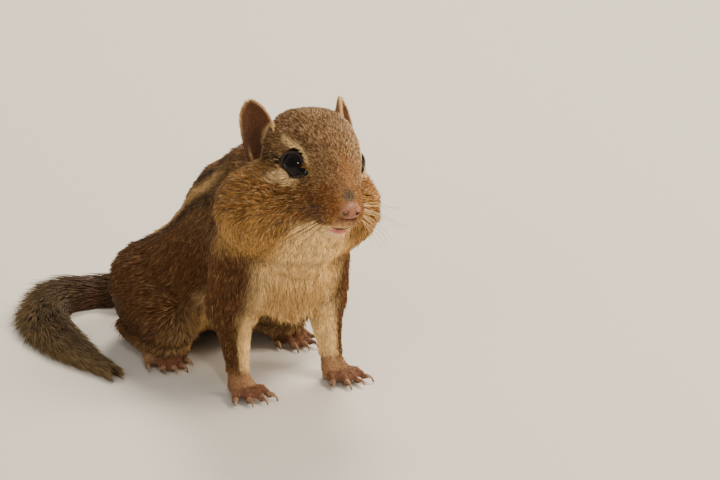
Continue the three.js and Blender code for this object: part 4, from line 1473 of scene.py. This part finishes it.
@dataclass
class Ears:
    """The thin ears, dark inside with a pale rim, and the short hair on them.

    Args:
        anatomy: the landmarks.
        pelt: the shared colours.
        nodes: the frame's nodes.
        facing: the way that the left ear's hollow faces, in the head's frame.
        hair_count: how many tufts each ear has.
        hair_width: half the width of a tuft.
        root_seed: fixes where the tufts stand.
        seed: fixes how they vary.
    """

    anatomy: Anatomy
    pelt: Pelt
    nodes: dict[str, bpy.types.Object]
    facing: tuple[float, float, float] = (0.72, -0.68, 0.1)
    hair_count: int = 5200
    hair_width: float = 0.075
    root_seed: int = 91
    seed: int = 7

    def build(self, name: str, side: int) -> None:
        """Make one ear.

        Args:
            name: the side's name.
            side: -1 for right and 1 for left.
        """
        mesh = merged_copy([self.nodes[f"ear_{name}"]], f"ear_skin_{name}")
        piece = new_object(f"ear_skin_{name}", mesh, SkinFinish(grain=3200.0).material(f"ear_fur_{name}"))
        mesh = subdivide(piece)
        places, normals = vertices_of(mesh)
        places = self.anatomy.to_animal(places)
        free_edge = self.anatomy.to_head(places)[:, 2] > 2.5
        rim = places[free_edge & (np.abs(normals @ self.hollow(side)) < 0.3)]
        paint(mesh, self.colour(places, normals, side, rim))
        unwrap(piece)
        dress(piece, "ear", f"ear_{name}")
        self.hair(piece, name, side, rim)

    def hollow(self, side: int) -> Array:
        """The way that an ear's hollow faces."""
        x, y, z = self.facing
        return self.anatomy.head_way(side * x, y, z)

    def colour(self, places: Array, normals: Array, side: int, rim: Array) -> Array:
        """Dark inside with painted shade low in the hollow, brown outside and pale along the rim.

        Args:
            places: points of the ear in the animal's frame.
            normals: the ear's directions there.
            side: -1 for right and 1 for left.
            rim: points along the ear's free edge.
        """
        toward = normals @ self.hollow(side)
        inside = ease(-0.1, 0.35, toward)
        outside = ease(0.1, -0.35, toward)
        height = self.anatomy.to_head(places)[:, 2]
        colours = np.tile(srgb(*self.pelt.ear_rim), (len(places), 1))
        colours = mixed(colours, srgb(*self.pelt.ear_inside), inside)
        colours = mixed(colours, srgb(*self.pelt.crown), outside)
        tree = KDTree(len(rim))
        for index, place in enumerate(rim):
            tree.insert(place, index)
        tree.balance()
        away = np.array([tree.find(place)[2] for place in places])
        colours = mixed(colours, srgb(*self.pelt.ear_rim), ease(0.9, 0.2, away) * 0.7)
        # Painted shade low in the ear's hollow, in the eye line's dark brown
        shaded = ease(9, 3, height) * inside * 0.6
        return mixed(colours, srgb(*self.pelt.eye_line), shaded)

    def hair(self, piece: bpy.types.Object, name: str, side: int, rim: Array) -> None:
        """Short hair over the ear, palest along its rim.

        Args:
            piece: the ear's skin.
            name: the side's name.
            side: -1 for right and 1 for left.
            rim: points along the ear's free edge.
        """
        anatomy = self.anatomy
        count = self.hair_count
        seed = self.root_seed + side
        roots = scatter(piece, count, lambda places, normals: np.ones(len(places)), anatomy, seed)
        random = np.random.default_rng(self.seed + side)
        up = anatomy.head_way(side * 0.25, 0.2, 1.0)
        way = up - (roots.normals @ up)[:, None] * roots.normals
        way = unit(way + random.normal(0, 0.15, (count, 3)))
        way = unit(way - (way * roots.normals).sum(axis=1, keepdims=True) * roots.normals)
        base = self.colour(roots.places, roots.normals, side, rim)
        base = base * random.uniform(0.8, 1.25, count)[:, None]
        length = random.uniform(0.7, 1.3, count)
        lift = np.radians(random.uniform(6, 18, count))
        width = np.full(count, self.hair_width)
        tufts = Tufts(roots, way, length, width, lift, (base * 0.8, base, base * 1.25))
        mesh = tufts.mesh(f"coat_ear_{name}", np.arange(count), anatomy)
        dress(new_object(f"coat_ear_{name}", mesh, FurFinish().material(f"ear_hair_{name}")), "ear")


@dataclass
class Muzzle:
    """The nose with its nostrils, the lips and the whiskers.

    Args:
        anatomy: the landmarks.
        nodes: the frame's nodes.
        skin: the skin that the lips and whiskers stand on.
        ray_start: how far before the head's middle the lines start that look for the skin.
        rod_sides: how many sides the lips and nostrils have.
        nostril_radius: the thickest part's radius.
        nostril_steps: how many points a nostril's line has.
        lip_steps: how many points a lip's line has.
        whisker_rows: how many rows of whiskers stand on each side.
        whisker_columns: how many whiskers are in a row.
        whisker_steps: how many points each has.
        whisker_radius: its radius at the root.
        seed: fixes how the whiskers vary.
    """

    anatomy: Anatomy
    nodes: dict[str, bpy.types.Object]
    skin: bpy.types.Object
    ray_start: float = -30.0
    rod_sides: int = 8
    nostril_radius: float = 0.46
    nostril_steps: int = 9
    lip_steps: int = 17
    whisker_rows: int = 4
    whisker_columns: int = 5
    whisker_steps: int = 8
    whisker_radius: float = 0.1
    seed: int = 29

    # Each lip's drop below the mouth's line, its radius, how far it is sunk in, and its finish
    LIPS: ClassVar = {
        "lip_lower": (0.75, 0.55, 0.25, BareFinish(light=(204, 128, 112), dark=(168, 90, 80))),
        # The upper rod's dark finish is painted shade in the mouth's crease
        "mouth_crease_shade": (-0.05, 0.36, 0.2, BareFinish(light=(120, 62, 54), dark=(72, 34, 30))),
    }
    # The far (left) whiskers are painted pale for the light from behind; the near ones keep the hair's dark
    # brown
    WHISKER_COLOURS_AND_RIM_LIGHT: ClassVar = {"left": (220, 186, 130), "right": (62, 36, 18)}

    def on_skin(self, piece: bpy.types.Object, x: float, z: float, sunk: float) -> Array:
        """Where a line straight back from before the head meets a piece.

        Args:
            piece: the skin or the nose.
            x: how far to the left the line runs, in the head's frame.
            z: how high it runs there.
            sunk: how far below the surface the answer lies.

        Returns:
            The place in the animal's frame.
        """
        anatomy = self.anatomy
        way = anatomy.head_way(0, 1, 0)
        origin = anatomy.from_head(np.array([[x, self.ray_start, z]]))[0]
        hit, place, _, _ = piece.ray_cast(Vector(anatomy.to_world(origin)), Vector(way))
        if not hit:
            log.warning("%s: a line at %.1f, %.1f misses it", piece.name, x, z)
        found = anatomy.to_animal(np.array(place)) if hit else origin
        return found + way * sunk

    def nose(self) -> None:
        """The bare nose with its nostrils, from a smoothed copy of the frame's."""
        mesh = merged_copy([self.nodes["nose"]], "nose_pad")
        finish = BareFinish(light=(156, 102, 68), dark=(100, 58, 38))
        piece = new_object("nose_pad", mesh, finish.material("nose_leather"))
        subdivide(piece)
        dress(piece, "nose", "nose")
        self.nostrils(piece)

    def nostrils(self, nose: bpy.types.Object) -> None:
        """A dark comma of painted shade in each nostril, laid on the front of the nose."""
        anatomy = self.anatomy
        radii = self.nostril_radius * np.sin(np.linspace(0.25, 2.8, self.nostril_steps)) ** 0.6
        commas = []
        for side in SIDES.values():
            route = []
            for share in np.linspace(0, 1, self.nostril_steps):
                height = -anatomy.nose_drop - 0.1 - 1.0 * math.sin(share * 2.6)
                route.append(self.on_skin(nose, side * (1.0 + 1.6 * share), height, 0.1))
            commas.append(rod("nostril", anatomy.to_world(np.array(route)), radii * MM, self.rod_sides))
        # The nostrils' dark finish is painted shade in their openings
        finish = BareFinish(light=(70, 30, 22), dark=(40, 18, 14), roughness=0.5, subsurface=0.0)
        mesh = joined_mesh("nostrils", commas)
        dress(new_object("nostrils", mesh, finish.material("nostril_opening_shade")), "nose")

    def lips(self) -> None:
        """The dark line of the mouth, painted shade in its crease, and the pink rim of the lower lip, laid on
        the skin.
        """
        anatomy = self.anatomy
        across = np.linspace(-1, 1, self.lip_steps) * anatomy.mouth_half_width
        narrowing = np.sqrt(np.clip(1 - (across / (anatomy.mouth_half_width + 0.3)) ** 2, 0.08, 1))
        for name, (drop, thick, sunk, finish) in self.LIPS.items():
            heights = anatomy.mouth_line(across) - drop
            route = [self.on_skin(self.skin, x, z, sunk) for x, z in zip(across, heights)]
            mesh = rod(name, anatomy.to_world(np.array(route)), thick * narrowing * MM, self.rod_sides)
            dress(new_object(name, mesh, finish.material(f"{name}_skin")), "nose")

    def whisker(self, side: int, row: int, column: int, random: np.random.Generator) -> Array:
        """The line of one whisker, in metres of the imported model.

        Args:
            side: -1 for right and 1 for left.
            row: its row, from the top.
            column: its place in the row, from the front.
            random: the seeded draw.
        """
        anatomy = self.anatomy
        root = self.on_skin(self.skin, side * (5.2 + 0.5 * column), -10.0 - 1.3 * row, 0.3)
        start = anatomy.to_head(root[None])[0]
        length = 13 + 3.0 * column + random.uniform(-2, 2)
        way = unit(np.array([side * (1.0 + 0.1 * column), -0.1 + 0.34 * column, -0.04 - 0.26 * row]))
        way = unit(way + random.normal(0, 0.06, 3))
        share = np.linspace(0, 1, self.whisker_steps)[:, None]
        sag = np.array([0, 0.22, -0.16]) * length * share**2
        return anatomy.to_world(anatomy.from_head(start + way * length * share + sag))

    def whiskers(self) -> None:
        """Fine whiskers, made by Geometry Nodes from one line each."""
        random = np.random.default_rng(self.seed)
        steps = self.whisker_steps
        for name, side in SIDES.items():
            lines = [
                self.whisker(side, row, column, random)
                for row in range(self.whisker_rows)
                for column in range(self.whisker_columns)
            ]
            edges = [(i, i + 1) for i in range(len(lines) * steps) if (i + 1) % steps]
            mesh = bpy.data.meshes.new(f"whiskers_{name}")
            mesh.from_pydata([Vector(place) for place in np.vstack(lines)], edges, [])
            # On the left this colour is a painted highlight of the rim light
            light = self.WHISKER_COLOURS_AND_RIM_LIGHT[name]
            dark = tuple(0.7 * value for value in light)
            finish = BareFinish(light=light, dark=dark, roughness=0.8, subsurface=0.0)
            material = finish.material(f"whisker_hair_{name}")
            piece = new_object(f"whiskers_{name}", mesh, material)
            modifier = piece.modifiers.new("hair", "NODES")
            modifier.node_group, radius_input = whisker_tree(material)
            modifier[radius_input] = self.whisker_radius * MM
            apply_modifiers(piece)
            dress(piece, Area.HEAD.value)


def whisker_tree(material: bpy.types.Material) -> tuple[bpy.types.NodeTree, str]:
    """Geometry Nodes that turn each line into a hair that tapers to its tip.

    Args:
        material: the hair's material.

    Returns:
        The tree, and the identifier of its input for the radius at the root.
    """
    tip_share, sides = 0.25, 5
    tree = bpy.data.node_groups.new("whisker", "GeometryNodeTree")
    tree.interface.new_socket("Lines", in_out="INPUT", socket_type="NodeSocketGeometry")
    thickness = tree.interface.new_socket("Root radius", in_out="INPUT", socket_type="NodeSocketFloat")
    tree.interface.new_socket("Hair", in_out="OUTPUT", socket_type="NodeSocketGeometry")

    def add(kind: str, inputs: dict[object, object]) -> bpy.types.Node:
        """Add a node, with a value or a link for each of some inputs."""
        node = tree.nodes.new(kind)
        for key, value in inputs.items():
            if isinstance(value, bpy.types.NodeSocket):
                tree.links.new(value, node.inputs[key])
            else:
                node.inputs[key].default_value = value
        return node

    source = add("NodeGroupInput", {}).outputs
    share = add("GeometryNodeSplineParameter", {}).outputs["Factor"]
    taper = add("ShaderNodeMapRange", {"Value": share, "To Min": 1.0, "To Max": tip_share}).outputs["Result"]
    radius = add("ShaderNodeMath", {0: taper, 1: source["Root radius"]})
    radius.operation = "MULTIPLY"
    lines = add("GeometryNodeMeshToCurve", {"Mesh": source["Lines"]}).outputs["Curve"]
    ring = add("GeometryNodeCurvePrimitiveCircle", {"Resolution": sides, "Radius": 1.0}).outputs["Curve"]
    sweep = {"Curve": lines, "Profile Curve": ring, "Scale": radius.outputs[0], "Fill Caps": True}
    hair = add("GeometryNodeCurveToMesh", sweep).outputs["Mesh"]
    solid = add("GeometryNodeRealizeInstances", {"Geometry": hair}).outputs["Geometry"]
    painted = add("GeometryNodeSetMaterial", {"Geometry": solid, "Material": material}).outputs["Geometry"]
    add("NodeGroupOutput", {"Hair": painted})
    return tree, thickness.identifier


@dataclass
class Claws:
    """The horn claws, one on each toe.

    Args:
        anatomy: the landmarks.
        toe_radius: the radius of the frame's toes.
        claw_length: how far a claw reaches past its toe.
        claw_radius: how thick it is at its root.
        claw_steps: how many points its axis has.
        claw_sides: how many sides it has.
        lowest: the lowest height of its axis.
    """

    anatomy: Anatomy
    toe_radius: float = 1.3
    claw_length: float = 3.0
    claw_radius: float = 0.82
    claw_steps: int = 8
    claw_sides: int = 9
    lowest: float = 0.28

    # How many toes, how far the outer ones turn out and stand from the middle, and a toe's length
    FORE: ClassVar = (4, 24, 3.3, 6.2)
    HIND: ClassVar = (5, 17, 4.1, 7.4)

    def build(self) -> None:
        """Make the claws of all four feet."""
        light, dark = (158, 124, 92), (96, 66, 46)
        finish = BareFinish(light=light, dark=dark, roughness=0.3, mottle=700.0, subsurface=0.05)
        material = finish.material("claw_horn")
        for name, side in SIDES.items():
            heading = unit(np.array([side * 0.05, -1, 0.0]))
            front = self.anatomy.wrist(side) + heading * 5.7
            self.foot(f"claws_fore_{name}", self.toe_tips(front, heading, *self.FORE), material)
            heading = unit(np.array([side * 0.1, -1, 0.0]))
            front = self.anatomy.heel(side) + heading * 25.6
            self.foot(f"claws_hind_{name}", self.toe_tips(front, heading, *self.HIND), material)

    def toe_tips(
        self, front: Array, heading: Array, count: int, spread: float, width: float, length: float
    ) -> list[tuple[Array, Array]]:
        """Tip and heading of each toe of a fan.

        Args:
            front: the middle of the row of toe roots.
            heading: the foot's own heading.
            count: how many toes.
            spread: how far the outer toes turn out, in degrees.
            width: the outer toes' distance from the middle.
            length: a middle toe's length.
        """
        tips = []
        across = -np.cross(heading, [0, 0, 1.0])
        for place in np.linspace(-1, 1, count):
            turn = math.radians(place * spread)
            c, s = math.cos(turn), math.sin(turn)
            way = np.array([heading[0] * c - heading[1] * s, heading[0] * s + heading[1] * c, 0])
            back = 3.4 * place**4 if count == 5 else 1.1 * place**2
            root = front + across * place * width - heading * back
            tip = root + way * length * (1 - 0.12 * place**2)
            tip[2] = self.toe_radius - 0.15
            tips.append((tip, way))
        return tips

    def foot(self, name: str, tips: list[tuple[Array, Array]], material: bpy.types.Material) -> None:
        """Join the claws of one foot in one piece."""
        shares = np.linspace(0, 1, self.claw_steps)
        rise = 0.55 + 0.5 * np.sin(shares * math.pi * 0.75) - 1.0 * shares**2
        radii = self.claw_radius * (1 - shares) ** 0.8 + 0.1
        claws = []
        for tip, way in tips:
            route = tip - way * 0.5 + way * shares[:, None] * (self.claw_length + 0.6)
            route[:, 2] = np.maximum(tip[2] + rise, self.lowest)
            claws.append(rod(name, self.anatomy.to_world(route), radii * MM, self.claw_sides))
        dress(new_object(name, joined_mesh(name, claws), material), Area.PAWS.value)


@dataclass(frozen=True)
class Lamp:
    """One soft round light aimed at the animal.

    Args:
        name: its name.
        place: where it stands, in metres.
        size: its width, in metres.
        power: in watts.
        colour: its linear colour.
        glints: whether glossy surfaces show it.
    """

    name: str
    place: tuple[float, float, float]
    size: float
    power: float
    colour: tuple[float, float, float]
    glints: bool = True

    AIM: ClassVar = (0, 0, 0.05)

    def build(self) -> None:
        """Set the lamp up."""
        data = bpy.data.lights.new(self.name, "AREA")
        data.shape = "DISK"
        data.size = self.size
        data.energy = self.power
        data.color = self.colour
        lamp = bpy.data.objects.new(self.name, data)
        lamp.location = self.place
        looking = Vector(self.AIM) - Vector(self.place)
        lamp.rotation_euler = looking.to_track_quat("-Z", "Y").to_euler()
        lamp.visible_glossy = self.glints
        bpy.context.scene.collection.objects.link(lamp)


@dataclass
class Studio:
    """Floor, light and camera.

    Args:
        anatomy: the landmarks.
        azimuth: the camera's turn round the animal, in degrees.
        elevation: its height above the horizon, in degrees.
        distance: from the animal, in metres.
        frame_width: how much of the animal's plane the picture is wide, in metres.
        aim: the middle of the picture, in millimetres of the animal's frame.
    """

    anatomy: Anatomy
    azimuth: float = -30.0
    elevation: float = 18.0
    distance: float = 1.9
    frame_width: float = 0.2118
    aim: tuple[float, float, float] = (36.4, -20.0, 33.9)

    # A warm key from the right, a rim light from behind, two soft fills and a light for the eyes
    LAMPS: ClassVar = (
        Lamp("key", (0.5, -0.55, 0.95), 0.5, 13.0, (1.0, 0.91, 0.78)),
        Lamp("rim", (0.45, 0.6, 0.8), 0.35, 12.0, (1.0, 0.92, 0.78)),
        Lamp("fill", (-0.9, -0.7, 0.5), 0.9, 5.0, (1.0, 0.97, 0.93), False),
        Lamp("bounce", (0.95, -0.35, 0.18), 0.5, 13.0, (1.0, 0.86, 0.62), False),
        Lamp("catch", (-0.4, -0.98, 0.74), 0.09, 4.0, (1.0, 0.98, 0.95)),
    )
    SKY_COLOUR: ClassVar = (0.82, 0.8, 0.77, 1)
    SKY_STRENGTH: ClassVar = 0.5
    FLOOR_SIZE: ClassVar = 6.0

    def build(self) -> None:
        """Set up the whole studio."""
        self.floor()
        for lamp in self.LAMPS:
            lamp.build()
        self.sky()
        self.camera()

    def floor(self) -> None:
        """A wide pale floor under the animal."""
        mesh = bpy.data.meshes.new("floor")
        size = self.FLOOR_SIZE
        corners = [(-size, -size, 0), (size, -size, 0), (size, size, 0), (-size, size, 0)]
        mesh.from_pydata(corners, [], [(0, 1, 2, 3)])
        new_object("floor", mesh, FloorFinish().material("floor_paper"))

    def sky(self) -> None:
        """A pale even sky."""
        world = bpy.data.worlds.new("sky")
        world.use_nodes = True
        background = world.node_tree.nodes["Background"]
        background.inputs["Color"].default_value = self.SKY_COLOUR
        background.inputs["Strength"].default_value = self.SKY_STRENGTH
        bpy.context.scene.world = world

    def camera(self) -> None:
        """A long lens at the photograph's viewing angle."""
        turn, rise = math.radians(-self.azimuth), math.radians(self.elevation)
        level = math.cos(rise)
        looking = np.array([math.sin(turn) * level, math.cos(turn) * level, -math.sin(rise)])
        data = bpy.data.cameras.new("camera")
        data.sensor_width = 36.0
        data.lens = data.sensor_width * self.distance / self.frame_width
        data.clip_end = 50.0
        camera = bpy.data.objects.new("camera", data)
        camera.location = Vector(self.anatomy.to_world(np.array(self.aim)) - looking * self.distance)
        camera.rotation_euler = Vector(looking).to_track_quat("-Z", "Y").to_euler()
        bpy.context.scene.collection.objects.link(camera)
        bpy.context.scene.camera = camera


def main() -> None:
    """Build every piece in order."""
    logging.basicConfig(level=logging.INFO, format="%(message)s")
    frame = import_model()
    nodes = frame["nodes"]
    anatomy = Anatomy()
    anatomy.settle()
    pelt = Pelt()
    Studio(anatomy).build()
    skin = Skin(anatomy, pelt).build(nodes)
    Coat(anatomy, pelt).build(skin)
    tail = Tail(anatomy, pelt)
    tail.core()
    tail.coat()
    eyes = Eyes(anatomy)
    ears = Ears(anatomy, pelt, nodes)
    for name, side in SIDES.items():
        eyes.build(name, side)
        ears.build(name, side)
    muzzle = Muzzle(anatomy, nodes, skin)
    muzzle.nose()
    muzzle.lips()
    muzzle.whiskers()
    Claws(anatomy).build()


if __name__ == "__main__":
    main()
